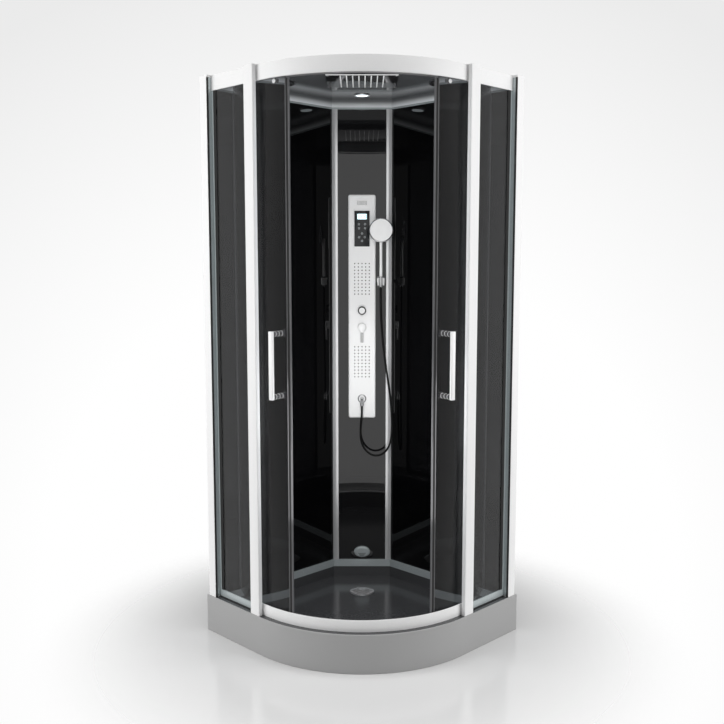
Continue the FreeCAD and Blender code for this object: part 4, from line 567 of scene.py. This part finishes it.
def make_drain_cover():
    """A dome turned about its stem: height = crown - fall (radius / reach)^2, and the rim is rolled."""
    crown, fall, reach = 74, 9.0, 51
    at = from_corner((0, 268, 0))
    r = np.linspace(0, reach, 16)
    dome = np.stack((r, crown - fall * (r / reach) ** 2), -1)
    rim = [(53, 64.2), (54, 63), (53.6, 62.2), (52, 62.05), (15, 62.05), (15, 34), (13.5, 32.5), (0, 32.5)]
    cover = turned(np.vstack((dome, rim)), at, UP, 72)
    ring = turned(box(43.8, 52, 60.1, 61.9, 0.6, 4), at, UP, 72, ring=True)
    piece(
        "drain_cover_dome", [cover], "drain_cover", "chrome", ["satin_chrome"], angle=50,
        body="drain_cover",
    )
    piece("waste_flange_ring", [ring], None, "white_plastic", ["chrome"])


# ---------------------------------------------------------------- walls and column


def make_column_beads():
    """Two bright upright beads over the edges of the column pane."""
    foot, head, back = 137, 2174, 477.9
    plan = rounded(
        [(107, back), (107, 470), (119, 470), (133.8, 475.6), (131.5, back)], (0.3, 2.2, 3, 1.4, 0.3), 6)
    bead = upright(plan, foot, head)
    beads = [placed(bead, from_corner), placed(bead, other_side, from_corner)]
    piece("column_bead_strips", beads, "column_profiles", "bright_aluminium", bevel=0.4)


def make_wall_profiles():
    """White wall profiles: a soft-edged case with a lip over the pane's edge and a cap."""
    inner, lip, pane_side, wall_side = 421.5, 444, 430.5, 439
    plan = rounded(
        [(inner, 396), (FRAME_FACE, 396), (FRAME_FACE, wall_side), (lip, wall_side), (lip, pane_side),
         (inner, pane_side)],
        (1, 3, 0.6, 0.4, 0.4, 1), 5)
    shells = [upright(plan, FRAME_FOOT, FRAME_TOP), bar(421.6, 445.9, WALL_EDGE, 398, 2211, 2219.9, 1)]
    for side, moves in SIDES:
        case = all_placed(shells, *moves)
        piece(f"wall_profile_{side}_case", case, f"wall_profile_{side}", "white_aluminium", bevel=0.8)


# ---------------------------------------------------------------- open sides


def make_posts():
    """White front posts: a broad rounded face and the glazing channel behind it."""
    back, edge = 429.5, 114.5
    plan = box(back, FRAME_FACE, edge, POST_EDGE, (1, 4, 2.5, 1), 6)
    shells = [upright(plan, FRAME_FOOT, FRAME_TOP), bar(417, 431, 135, 167.4, FRAME_FOOT, CEILING, 1)]
    for side, moves in SIDES:
        post = all_placed(shells, *moves)
        piece(f"post_{side}_profile", post, f"post_{side}", "white_aluminium", bevel=0.8)


def make_side_headers():
    """White headers over both side panes, with an upstand behind the face."""
    shells = [
        bar(GLAZING_BACK, GLAZING_FACE, POST_EDGE, WALL_EDGE, HEADER_FOOT, CEILING, 1),
        bar(422, 424.9, POST_EDGE, WALL_EDGE, 2213, FRAME_TOP, 0.5),
    ]
    both = shells + all_placed(shells, left_hand)
    piece("side_header_bars", both, "side_headers", "white_aluminium", bevel=0.9)


def make_side_frames():
    """Grey stile, foot rail and jamb of each side pane."""
    stile_edge, rail_top = 383, 183
    shells = [
        bar(GLAZING_BACK, GLAZING_FACE, stile_edge, WALL_EDGE, GLAZING_FOOT, HEADER_FOOT, 1.2),
        bar(GLAZING_BACK, GLAZING_FACE, POST_EDGE, stile_edge, GLAZING_FOOT, rail_top, 1.2),
        bar(GLAZING_BACK, 437.5, 394.05, 395.95, GLAZING_FOOT, 2211, 0.5),
    ]
    both = shells + all_placed(shells, left_hand)
    piece("side_frame_bars", both, "side_frames", "grey_aluminium", bevel=0.8)


def make_curved_header():
    """White fascia round the front: a thin face with rolled edges, a shelf and a lower lip."""
    lip, shelf, inner, outer = 518, 517, 522, 525
    profile = rounded(
        [(lip, HEADER_FOOT), (outer, HEADER_FOOT), (outer, FRAME_TOP), (inner, FRAME_TOP), (inner, CEILING),
         (shelf, CEILING), (shelf, 2210), (inner, 2210), (inner, 2165), (lip, 2165)],
        (0.8, 2.4, 1.6, 0.8, 0.3, 0.5, 0.5, 0.3, 0.3, 0.8), 6)
    fascia = front_sweep(profile, **FRONT, straight=FRONT_RUN_ON)
    piece("curved_fascia", [fascia], "curved_header", "white_aluminium")


def make_curved_rail():
    """White sill rail: its face bulges as radius = 521.4 + 3.6 root(1 - ((z - 172) / 30)^2)."""
    foot_radius, bulge, middle, reach = 521.4, 3.6, 172, 30
    z = np.linspace(150.4, 195.2, 14)
    face = np.stack((foot_radius + bulge * np.sqrt(1 - ((z - middle) / reach) ** 2), z), -1)
    rest = [(522.4, 196), (521.2, 195.6), (521, 194), (521, 155), (503, 155), (503, 167), (502, 168),
            (501, 168), (500, 167), (500, 155), (484, 155), (484, 150.1)]
    rail = front_sweep(np.vstack((face, rest)), **FRONT, straight=FRONT_RUN_ON)
    piece("curved_sill_rail", [rail], "curved_rail", "white_aluminium")


# ---------------------------------------------------------------- doors

DOOR_INNER, DOOR_OUTER = 509.5, 514.5
HANGER_ANGLES = {"lead": -7.2, "tail": 25.3}
GUIDE_ANGLES = (-11.4, -2.9)
PULL_ANGLE, PULL_ENDS = -10.6, (1020, 1250)
TRACK_STUD, LOWER_STUD = 2181.3, 2152


def make_door_pane(side, moves):
    """The curved pane, with soft edges."""
    glass = front_sweep(box(DOOR_INNER, DOOR_OUTER, 170, 2195, 1.0, 3), -12.9, 31.0, 64)
    piece(
        f"door_pane_{side}", [placed(glass, *moves)], f"door_glass_{side}", "tinted_glass", ["door_tint"],
        body=f"door_{side}",
    )


def make_door_seals(side, moves):
    """Two ribs with a dark groove between them at the front edge, and one rib at the rear edge."""
    rib, groove = box(507.5, 516.5, 172, 2157, 1.6, 4), box(509, 515, 172.4, 2156.6, 1.2, 4)
    ribs = [front_sweep(rib, *span, 3) for span in ((-13.3, -12.92), (-14.7, -14.35), (31.02, 31.9))]
    shells = by_finish(ribs, [front_sweep(groove, -14.4, -13.25, 3)])
    piece(
        f"door_seals_{side}", all_placed(shells, *moves), f"door_seal_{side}", "clear_seal",
        ["clear_seal", "near_black_and_painted_shade"], 0.6, body=f"door_{side}",
    )


def make_hangers(side, moves):
    """Two hangers, each a plate with two domed caps, an axle and a pad, and two guides at the foot."""
    dome = [(0, 517.4), (4, 517.3), (6.6, 516.8), (8, 515.9), (8.5, 514.8), (8.4, 514.55), (5, 514.55),
            (5, 509.0), (0, 509.0)]
    axle = [(0, 489), (5, 489), (5, 492.6), (3, 492.6), (3, 506.2), (0, 506.2)]
    pad = [(0, 494.5), (8, 494.5), (9, 495.5), (9, 506), (0, 506)]
    metal = [bar(506, 509, -12, 12, 2142, 2191, 0.6)]
    metal += [turned(dome, (0, 0, height), OUT, 36) for height in (LOWER_STUD, TRACK_STUD)]
    metal.append(turned(axle, (0, 0, TRACK_STUD), OUT, 24))
    hanger = by_finish(metal, [turned(pad, (0, 0, LOWER_STUD), OUT, 24)])
    jaws = [bar(inner, outer, -9, 9, 157, 170, 1) for inner, outer in ((505, 509.4), (514.6, 519))]
    guide = by_finish([], [*jaws, bar(509, 515, -9, 9, 157, 169.9, 0.5)])
    shells = []
    for angle in HANGER_ANGLES.values():
        shells += all_placed(hanger, on_spoke(angle), *moves)
    for angle in GUIDE_ANGLES:
        shells += all_placed(guide, on_spoke(angle), *moves)
    piece(
        f"door_hanger_set_{side}", shells, f"door_hangers_{side}", "chrome",
        ["chrome", "black_plastic"], 0.4, body=f"door_{side}",
    )


def make_rollers(side, moves):
    """Grooved nylon wheels about the hangers' axles."""
    tyre = [(3.2, 493), (9.6, 493), (11, 494.4), (11, 496.5), (10.2, 498.5), (11, 500.5), (11, 502.6),
            (9.6, 504), (3.2, 504)]
    for place, angle in HANGER_ANGLES.items():
        wheel = placed(turned(tyre, (0, 0, TRACK_STUD), OUT, 40, ring=True), on_spoke(angle), *moves)
        name = f"wheel_{side}_{place}"
        piece(f"roller_{side}_{place}", [wheel], name, "nylon", body=name)


def make_pull(side, moves):
    """A flat white bar on two ringed chrome stand-offs, with a button behind the pane for each."""
    edges = [(0.9, 1010), (0.25, 1010.4), (0, 1011.2), (0, 1258.8), (0.25, 1259.6), (0.9, 1260)]
    rings = [(0, 516.4), (10, 516.4), (10, 525), (9, 525.6), (9, 534), (10, 534.6), (10, 543), (9, 543.6),
             (9, 552), (10, 552.6), (10, 561), (9, 561.6), (9, 575), (0, 575)]
    button = [(0, 501.5), (11, 501.5), (12, 502.5), (12, 507), (5, 507.2), (5, 516.5), (0, 516.5)]
    shells = by_finish([], [pillow(box(574.5, 586.5, -9, 9, 2.6, 6), edges, (0, 1, 2))])
    for height in PULL_ENDS:
        at = (0, 0, height)
        shells += [turned(rings, at, OUT, 40), turned(button, at, OUT, 32)]
    shells = all_placed(shells, on_spoke(PULL_ANGLE), *moves)
    piece(
        f"door_pull_{side}", shells, f"handle_{side}", "chrome", ["chrome", "pull_bar"], angle=40,
        body=f"door_{side}",
    )


def make_doors():
    """Each curved door: pane, seals, hangers and guides, rollers and handle."""
    for side, moves in SIDES:
        for make in (make_door_pane, make_door_seals, make_hangers, make_rollers, make_pull):
            make(side, moves)


# ---------------------------------------------------------------- ceiling


def make_ceiling_lamp():
    """A turned rim with a domed lens and its can above the roof."""
    at = from_corner((0, 361, 0))
    reach = 26.4
    r = np.linspace(0, reach, 8)
    rim = turned(box(26.5, 35, 2211, CEILING, (1.2, 3, 0.4, 0.4), 6), at, UP, 64, ring=True)
    lens = np.vstack((np.stack((r, 2210.6 + 1.6 * (r / reach) ** 2), -1), [(reach, 2216), (0, 2216)]))
    can = [(0, 2216.2), (26, 2216.2), (26, 2231), (24, 2235), (0, 2235)]
    shells = by_finish([rim], [turned(lens, at, UP, 64)], [turned(can, at, UP, 48)])
    finishes = ["chrome", "lamp_lens", "black_plastic"]
    piece("ceiling_lamp_unit", shells, "ceiling_lamp", "chrome", finishes)


def make_rain_shower():
    """A square mirror plate on four studs, with a white strip along its front edge and an inlet above."""
    half, front, rear = 135, -176, 64
    edges = [(1.2, 2190), (0.3, 2190.4), (0, 2191.2), (0, 2196.8), (0.3, 2197.6), (1.2, 2198)]
    plate = pillow(box(-half, half, front, rear, 5, 6), edges, (0, 1, 2))
    strip = bar(-134.6, 134.6, -176.4, -173.5, 2189.6, 2193, 0.6)
    stud = [(0, 2186), (5.4, 2186), (6, 2186.6), (6, 2191), (4, 2191), (4, CEILING), (0, CEILING)]
    studs = [turned(stud, (x, y, 0), UP, 20) for x in (-128, 128) for y in (-167.5, 55.5)]
    inlet = turned([(0, 2197.5), (10, 2197.5), (10, 2235), (0, 2235)], (0, -56, 0), UP, 32)
    shells = all_placed(by_finish([plate], [strip], [*studs, inlet]), from_corner)
    finishes = ["mirror_plate", "white_aluminium", "chrome"]
    piece("rain_plate_unit", shells, "rain_shower", "chrome", finishes, 0.3)


def make_rain_nozzles():
    """Eight bright strips under the rain shower with a row of small drops on each."""
    count, pitch, half = 8, 23, 2
    places = [pitch * (number - (count - 1) / 2) for number in range(count)]
    row = [(0, y, 0) for y in np.linspace(-160, 48, 18)]
    drop = [(0, 2187.5), (0.9, 2187.6), (1.3, 2188.4), (0, 2188.5)]
    strips = [bar(x - half, x + half, -166, 54, 2188.2, 2190, 1.8) for x in places]
    drops = [repeated(turned(drop, (x, 0, 0), UP, 8), row) for x in places]
    shells = all_placed(strips + drops, from_corner)
    piece("rain_nozzle_strips", shells, "rain_nozzles", "white_silicone", bevel=0.3)


def make_vents():
    """Two round ceiling vents: a rim and seven slats across."""
    inner, pitch, half = 50.5, 14.0, 3.5
    rim = box(50, 60, 2207, CEILING, (1.5, 4, 0.5, 0.5), 6)
    shells = []
    for x, y in ((-325, 88), (325, 88)):
        shells.append(turned(rim, (x, y, 0), UP, 64, ring=True))
        for across in pitch * np.arange(-3, 4):
            reach = math.sqrt(inner**2 - across**2)
            slat = bar(-reach, reach, across - half, across + half, 2208.5, 2213, 0.5)
            shells.append(placed(slat, moved(x, y)))
    shells = all_placed(shells, from_corner)
    piece("ceiling_vent_slats", shells, "ceiling_grilles", "black_plastic", bevel=0.6)


# ---------------------------------------------------------------- shower plate and fittings

PLATE_MIDDLE = 1304.5
PANEL_MIDDLE, DISPLAY_HEIGHT = 1655, 1708
SPEAKER_HEIGHT = 1767.5
DIVERTER_HEIGHT, MIXER_HEIGHT = 1292, 1217
ELBOW_HEIGHT, ELBOW_DEPTH = 893, 440
HANDSET_SIDE, HANDSET_DEPTH = 83.8, 430.0
CRADLE_HEIGHT, HEAD_HEIGHT = 1421.5, 1647
CONE_FOOT, CONE_TOP = 1398.3, 1443.3


def face_disc(profile, side, height, sides=56, ring=False):
    """A profile (radius, depth) turned about the line that runs square through the shower plate."""
    return placed(turned(profile, (side, 0, height), BACK, sides, ring), from_corner)


def face_pad(outline, levels):
    """An outline (sideways, height) with insets at given depths, put on the shower plate."""
    return placed(pillow(outline, levels, (0, 2, 1)), from_corner)


def upright_ring(profile, side, depth, sides):
    """A ring's profile (radius, height) turned about an upright line before the column."""
    return placed(turned(profile, (side, depth, 0), UP, sides, ring=True), from_corner)


def make_shower_plate():
    """The long white plate: its face curves back to its sides in a quarter round."""
    bend = 7
    a = np.linspace(0, math.pi / 2, 8)[::-1]
    edge = np.stack((bend * (1 - np.sin(a)), PLATE_FACE + bend * (1 - np.cos(a))), -1)
    case = face_pad(oblong(122, 1000, 10, 8, height=PLATE_MIDDLE), [(1.0, 477.9), (0, 477.2), *edge])
    rim = [(0, 458.4), (0.4, 457), (1.2, 456.1), (2.6, 455.7), (4.2, 456)]
    collar = face_pad(oblong(78, 167, 5, 6, height=PANEL_MIDDLE), rim)
    piece("shower_plate_case", [case, collar], "shower_plate", "white_plastic", angle=40)


def touch_keys():
    """A ring with a dot in it for each key."""
    keys = [(-13.7, 1674.7), (13.3, 1674.7), (-13.3, 1656.7), (13.3, 1656.7), (0, 1634), (-12.4, 1617.6),
            (12.4, 1617.6), (0, 1601)]
    ring = [(3.2, 455.3), (3.3, 454.9), (4.5, 454.9), (4.6, 455.3)]
    dot = [(0, 454.9), (1.2, 454.9), (1.3, 455.3), (0, 455.3)]
    shells = []
    for side, height in keys:
        shells += [face_disc(ring, side, height, 20, ring=True), face_disc(dot, side, height, 12)]
    return shells


def display_digits():
    """Seven-stroke digits: the strokes' middles and sizes, and which of them each digit lights."""
    strokes = {
        "a": (0, 6.2, 4.4, 1.1), "b": (2.6, 3.1, 1.1, 5), "c": (2.6, -3.1, 1.1, 5), "d": (0, -6.2, 4.4, 1.1),
        "e": (-2.6, -3.1, 1.1, 5), "f": (-2.6, 3.1, 1.1, 5), "g": (0, 0, 4.4, 1.1),
    }
    lit = {"3": "abcdg", "8": "abcdefg", "4": "bcfg", "0": "abcdef"}
    shells = []
    for place, digit in ((-11, "3"), (-2, "8"), (9, "4"), (17, "0")):
        for side, height, wide, tall in (strokes[stroke] for stroke in lit[digit]):
            outline = oblong(wide, tall, 0.3, 2, place + side, DISPLAY_HEIGHT + height)
            shells.append(face_pad(outline, [(0, 455.0), (0, 454.8)]))
    return shells


def make_control_unit():
    """The glossy black control unit with a lit display and ringed touch keys."""
    case = face_pad(oblong(68, 157, 2, 4, height=PANEL_MIDDLE), [(0, 459), (0, 455.6), (0.6, 455.2)])
    window = face_pad(oblong(42, 24, 2.5, 5, height=DISPLAY_HEIGHT), [(0, 455.6), (0, 455.0), (0.4, 454.9)])
    shells = by_finish([case], [window], touch_keys(), display_digits())
    finishes = ["gloss_black", "display_light", "key_print", "display_ink"]
    piece("control_panel", shells, "control_unit", "black_plastic", finishes)


def make_speaker():
    """The speaker grille: a shallow frame with four rows of slots."""
    surround = face_pad(oblong(48, 24, 2, 5, height=SPEAKER_HEIGHT), [(0, 458.2), (0.3, 457.3), (1, 457.1)])
    slot = face_pad(oblong(4.4, 2.2, 1, 3), [(0, 457.3), (0.2, 456.95)])
    columns, rows = np.linspace(-18.9, 18.9, 8), (-7.2, -2.4, 2.4, 7.2)
    shifts = from_corner([(side, 0, SPEAKER_HEIGHT + row) for side in columns for row in rows])
    shells = by_finish([surround], [repeated(slot, shifts)])
    piece("speaker_grille", shells, "speaker", "white_plastic", ["white_plastic", "black_rubber"])


def make_body_jets():
    """Two fields of five by ten jets, each a small turned nipple."""
    aside, upwards, feet = 16.3, 15.1, (1365.5, 993)
    nipple = [(0, 456.5), (0.9, 456.5), (1.1, 457.2), (2.7, 457.3), (2.9, 458.2), (0, 458.2)]
    shifts = [(aside * i, 0, foot + upwards * k) for foot in feet for i in range(-2, 3) for k in range(10)]
    jets = repeated(face_disc(nipple, 0, 0, 12), from_corner(shifts))
    piece("body_jet_nipples", [jets], "body_jets", "grey_silicone", ["black_rubber"])


def make_diverter():
    """A black ring round a white disc, dished as depth = 446.9 - 0.9 (radius / reach)^2, on its spindle."""
    reach, outer, front, back = 13.7, 18.5, 445.7, 457.6
    ring = box(13.6, outer, back, front, (0.3, 0.3, 0.6, 0.6), 4)
    r = np.linspace(0, reach, 7)
    dish = np.stack((r, 446.9 - 0.9 * (r / reach) ** 2), -1)
    disc = np.vstack((dish, [(reach, 457.5), (5, 457.5), (5, 476), (0, 476)]))
    rim = face_disc(ring, 0, DIVERTER_HEIGHT, ring=True)
    shells = by_finish([rim], [face_disc(disc, 0, DIVERTER_HEIGHT)])
    finishes = ["near_black_and_painted_shade", "white_plastic"]
    piece("diverter_dial", shells, "diverter_knob", "chrome", finishes, body="diverter")


def make_mixer():
    """The mixer cap, domed as depth = 437.7 + 2.2 (radius / reach)^2, on its spindle."""
    reach = 17
    r = np.linspace(0, reach, 9)
    dome = np.stack((r, 437.7 + 2.2 * (r / reach) ** 2), -1)
    side = [(18.4, 441), (19, 443), (19, 457.5), (8, 457.7), (8, COLUMN_FACE), (0, COLUMN_FACE)]
    cap = face_disc(np.vstack((dome, side)), 0, MIXER_HEIGHT)
    piece("mixer_dome", [cap], "mixer_cap", "chrome", ["white_plastic"], angle=45, body="mixer")


def make_mixer_lever():
    """A flat lever with two dark lines on its face, painted shade that stands in for the lever's shaded
    sides.
    """
    edges = [(0.8, 440.2), (0.2, 440.6), (0, 441.4), (0, 446.4), (0.2, 447)]
    blade = face_pad(oblong(12.6, 62, 2.4, 6, height=1177.5), edges)
    # The two dark lines are painted shade: near-black strips on the face where the lever's sides fall in
    # shadow, not real inlays.
    lines = [face_pad(oblong(3.4, 46, 1, 4, side, 1172), [(0, 440.6), (0, 440.1)]) for side in (-3.7, 3.7)]
    shells = by_finish([blade], lines)
    finishes = ["pull_bar", "near_black_and_painted_shade"]
    piece("mixer_blade", shells, "mixer_lever", "chrome", finishes, angle=40, body="lever")


def make_hose_elbow():
    """A rosette, and a bent tube from it: a quarter circle down to the hose, with a nut."""
    bend, steps = 14, 12
    profile = [(0, 453), (14, 453), (17.5, 453.6), (19.4, 455), (20, 457), (20, PLATE_FACE), (0, PLATE_FACE)]
    rosette = face_disc(profile, 0, ELBOW_HEIGHT)
    a = np.linspace(0, math.pi / 2, steps)
    quarter = np.stack((np.zeros(steps), 454 - bend * np.sin(a), ELBOW_HEIGHT - bend * (1 - np.cos(a))), -1)
    line = np.vstack(([(0, 462, ELBOW_HEIGHT)], quarter, [(0, ELBOW_DEPTH, 874), (0, ELBOW_DEPTH, 862)]))
    tube = placed(pipe(line, 7.6, 28, OUT), from_corner)
    sleeve = [(5, 862), (8.5, 862), (8.9, 863), (8.9, 872), (8.2, 873.4), (5, 873.4)]
    nut = upright_ring(sleeve, 0, ELBOW_DEPTH, 32)
    piece("hose_elbow_bend", [rosette, tube, nut], "hose_elbow", "chrome", angle=40)


def make_cradle():
    """The hand shower's cradle: a foot and an arm from the column, and a cup with a slot at its front. The
    cup is a profile (radius, height) carried round its upright axis through all but the slot's angle."""
    steps, half_slot = 40, 39
    flange = [(0, 470), (14, 470), (17, 471), (18, 473), (18, COLUMN_FACE), (0, COLUMN_FACE)]
    foot = face_disc(flange, HANDSET_SIDE, CRADLE_HEIGHT, 40)
    arm = face_disc([(0, 444), (9, 444), (9, 470.5), (0, 470.5)], HANDSET_SIDE, CRADLE_HEIGHT, 32)
    a = np.radians(np.linspace(-90 + half_slot, 270 - half_slot, steps))[:, None]
    wall = rounded(
        [(12, 1405), (15.5, 1405), (18, 1426), (18, 1438), (12.2, 1438), (12, 1415)],
        (1.5, 1.5, 3, 2, 1.5, 1), 5)
    height = np.broadcast_to(wall[None, :, 1], (steps, len(wall)))
    aside, deep = HANDSET_SIDE + wall[:, 0] * np.cos(a), HANDSET_DEPTH + wall[:, 0] * np.sin(a)
    cup = np.stack((aside, deep, height), -1)
    shells = by_finish([foot, arm], [placed(skin(cup, ends=True), from_corner)])
    piece("handset_cradle", shells, "handset_holder", "chrome", ["chrome", "pull_bar"], angle=40)


def make_hose_cone():
    """The hose's cone, which sits in the cradle's cup."""
    bore = 4.6
    profile = [(bore, CONE_FOOT), (7, CONE_FOOT), (7.4, 1399.5), (11, 1438.3), (13.4, 1438.7), (14, 1439.4),
               (14, 1442.6), (13.4, CONE_TOP), (bore, CONE_TOP)]
    cone = upright_ring(profile, HANDSET_SIDE, HANDSET_DEPTH, 40)
    piece("hose_cone_sleeve", [cone], "hose_cone", "chrome", angle=40, body="handset_cone")


def nozzle_places(reach):
    """Six rings of nozzles, at a radius and a turn that grow ring by ring, on a face that bulges forward
    as depth = 0.5 sin^2(pi radius / reach)."""
    first, pitch, twist, bulge = 8, 7, 0.21, 0.5
    places = []
    for row in range(6):
        radius = first + pitch * row
        count = 6 * (row + 1)
        for angle in np.arange(count) * math.pi / (count / 2) + row * twist:
            depth = bulge * math.sin(radius / reach * math.pi) ** 2
            side, height = HANDSET_SIDE + radius * math.cos(angle), HEAD_HEIGHT + radius * math.sin(angle)
            places.append((side, depth, height))
    return from_corner(places)


def make_hand_shower():
    """A round head with a face of depth 410.3 + 0.9 cos^2(pi radius / reach), and a grip whose radius
    changes with its height."""
    reach = 48
    back = [(0, 430), (12, 430), (16, 428.5), (24, 425.5), (40, 423.6), (50, 421.5), (53, 418.5), (53, 413.5),
            (52, 411.4), (49.6, 410.4), (48.4, 411.0), (48.2, 412.2), (0, 412.2)]
    r = np.linspace(0, reach, 12)
    dish = np.stack((r, 410.3 + 0.9 * np.cos(r / reach * math.pi) ** 2), -1)
    face = np.vstack((dish, [(48.1, 412.3), (0, 412.3)]))
    nozzle = face_disc([(0, 409.9), (0.7, 410.0), (1.1, 411.3), (0, 411.4)], 0, 0, 8)
    discs = [face_disc(profile, HANDSET_SIDE, HEAD_HEIGHT, 72) for profile in (back, face)]
    grip = np.array([
        (1443.6, 6.2), (1444.2, 7.0), (1450, 7.0), (1500, 6.2), (1560, 6.4), (1590, 6.9), (1605, 7.6),
        (1625, 8.4)])
    axis = [(HANDSET_SIDE, HANDSET_DEPTH, height) for height in grip[:, 0]]
    handle = placed(pipe(axis, grip[:, 1], 28), from_corner)
    shells = by_finish(discs[:1], discs[1:], [repeated(nozzle, nozzle_places(reach))], [handle])
    finishes = ["chrome", "white_plastic", "white_silicone", "pull_bar"]
    piece("hand_shower_unit", shells, "hand_shower", "chrome", finishes, angle=40, body="handset")


def make_steam_outlet():
    """An oval cap: the outline shrinks as its depth comes forward, with three slots below."""
    a = np.linspace(0, 2 * math.pi, 57)[:-1]
    oval = np.stack((37.5 * np.cos(a), 174.5 + 25 * np.sin(a)), -1)
    cap = face_pad(oval, [(0, COLUMN_FACE), (0, 470), (1.2, 467.6), (4, 466.3), (9, 466)])
    slots = [oblong(34 - 6 * k, 2.4, 1.1, 4, height=168 - 5 * k) for k in range(3)]
    shells = by_finish([cap], [face_pad(slot, [(0, 466.4), (0, 465.9)]) for slot in slots])
    finishes = ["grey_aluminium", "black_plastic"]
    piece("steam_outlet_cap", shells, "steam_outlet", "grey_aluminium", finishes)


def dress_nodes():
    """The CAD's own pieces take the finish of their slot."""
    for entry in frame["record"]["subparts"]:
        for socket in frame["nodes"][entry["node"]].material_slots:
            socket.material = FINISH[entry["material_slot"]]


make_apron()
make_drain_cover()
make_column_beads()
make_wall_profiles()
make_posts()
make_side_headers()
make_side_frames()
make_curved_header()
make_curved_rail()
make_doors()
make_ceiling_lamp()
make_rain_shower()
make_rain_nozzles()
make_vents()
make_shower_plate()
make_control_unit()
make_speaker()
make_body_jets()
make_diverter()
make_mixer()
make_mixer_lever()
make_hose_elbow()
make_cradle()
make_hose_cone()
make_hand_shower()
make_steam_outlet()
dress_nodes()


# ---------------------------------------------------------------- room and light

FLOOR_HEIGHT = -0.6
FLOOR_FADE = (0.64, 1.35)
WORLD_LIGHT = 0.32
FOOT_DIRECTION = (-0.669, 0.669, -0.324)
MIDDLE = (0, 0, 1.15)


def make_floor():
    """A pale disc that keeps the cabin's shadow and gives way to the backdrop further out."""
    rings = [(1000 * radius, FLOOR_HEIGHT) for radius in (0.0, 0.3, 0.6, 0.9, 1.3, 1.8, 2.4)]
    points, faces = turned(rings, (0, 0, 0), UP, 96)
    mesh = bpy.data.meshes.new("floor")
    mesh.from_pydata(points * MILLIMETRE, [], faces)
    merge_seams(mesh, outwards=False)
    material = bpy.data.materials.new("pale_floor")
    material.use_nodes = True
    tree = material.node_tree
    shader = tree.nodes["Principled BSDF"]
    shader.inputs["Base Color"].default_value = (0.74, 0.74, 0.74, 1)
    shader.inputs["Roughness"].default_value = 0.13
    away = add_node(tree, "VectorMath", {0: object_place(tree)}, operation="LENGTH").outputs["Value"]
    ramp = {"Value": away, "From Min": FLOOR_FADE[0], "From Max": FLOOR_FADE[1]}
    fade = add_node(tree, "MapRange", ramp, interpolation_type="SMOOTHSTEP").outputs[0]
    clear = add_node(tree, "BsdfTransparent").outputs[0]
    mix = add_node(tree, "MixShader", {0: fade, 1: shader.outputs[0], 2: clear})
    tree.links.new(mix.outputs[0], tree.nodes["Material Output"].inputs["Surface"])
    mesh.materials.append(material)
    stage_object("floor", mesh)


def make_world():
    """White for the camera, for reflections and through glass, and a little greyer away from the foot of
    the cabin: it falls by the cosine of the angle to it. Everything else is lit by a plain grey."""
    world = bpy.data.worlds.new("studio")
    scene.world = world
    world.use_nodes = True
    tree = world.node_tree
    tree.nodes.clear()
    direction = add_node(tree, "TexCoord").outputs["Generated"]
    both = {0: direction, 1: FOOT_DIRECTION}
    toward = add_node(tree, "VectorMath", both, operation="DOT_PRODUCT").outputs["Value"]
    ramp = {"Value": toward, "From Min": 0.79, "From Max": 0.945, "To Min": 0.83, "To Max": 1.0}
    shade = add_node(tree, "MapRange", ramp).outputs[0]
    seen = add_node(tree, "Background", {"Color": (1, 1, 1, 1), "Strength": shade}).outputs[0]
    lit = add_node(tree, "Background", {"Color": (1, 1, 1, 1), "Strength": WORLD_LIGHT}).outputs[0]
    path = add_node(tree, "LightPath").outputs
    camera_or_glossy = add_math(tree, "MAXIMUM", path["Is Camera Ray"], path["Is Glossy Ray"])
    shown = add_math(tree, "MAXIMUM", camera_or_glossy, path["Is Transmission Ray"])
    mix = add_node(tree, "MixShader", {0: shown, 1: lit, 2: seen})
    add_node(tree, "OutputWorld", {"Surface": mix.outputs[0]})


def make_lamp(name, place, power, size, toward=MIDDLE):
    """A soft lamp that faces a point, by default the middle of the cabin. Corner frame, in metres."""
    lamp = bpy.data.lights.new(name, "AREA")
    lamp.energy, lamp.shape, lamp.size, lamp.size_y = power, "RECTANGLE", size[0], size[1]
    holder = stage_object(name, lamp)
    spot = from_corner(place)
    holder.location = spot
    x, y, z = from_corner(toward) - spot
    holder.rotation_euler = (math.atan2(math.hypot(x, y), -z), 0, math.atan2(y, x) - math.pi / 2)
    holder.visible_camera = holder.visible_glossy = holder.visible_transmission = False


make_floor()
make_world()
make_lamp("left_softbox", (-3.1, -1.0, 1.7), 80, (2.2, 2.4))
make_lamp("right_softbox", (3.1, -1.0, 1.7), 77, (2.2, 2.4))
make_lamp("front_softbox", (0.0, -2.4, 3.6), 5, (1.6, 1.2))
make_lamp("top_softbox", (0.0, -0.6, 4.6), 32, (2.6, 2.6))
make_lamp("doorway_fill", (0.0, -0.29, 1.35), 5.8, (0.6, 1.6), (0.0, 0.45, 1.33))
make_lamp("inner_fill", (0.0, -0.2, 0.8), 1.5, (0.3, 0.3), (0.0, -0.2, 2.2))
make_lamp("tray_fill", (0.0, -0.15, 1.2), 2.4, (0.3, 0.3), (0.0, 0.1, 0.0))
scene.view_settings.view_transform = "Standard"
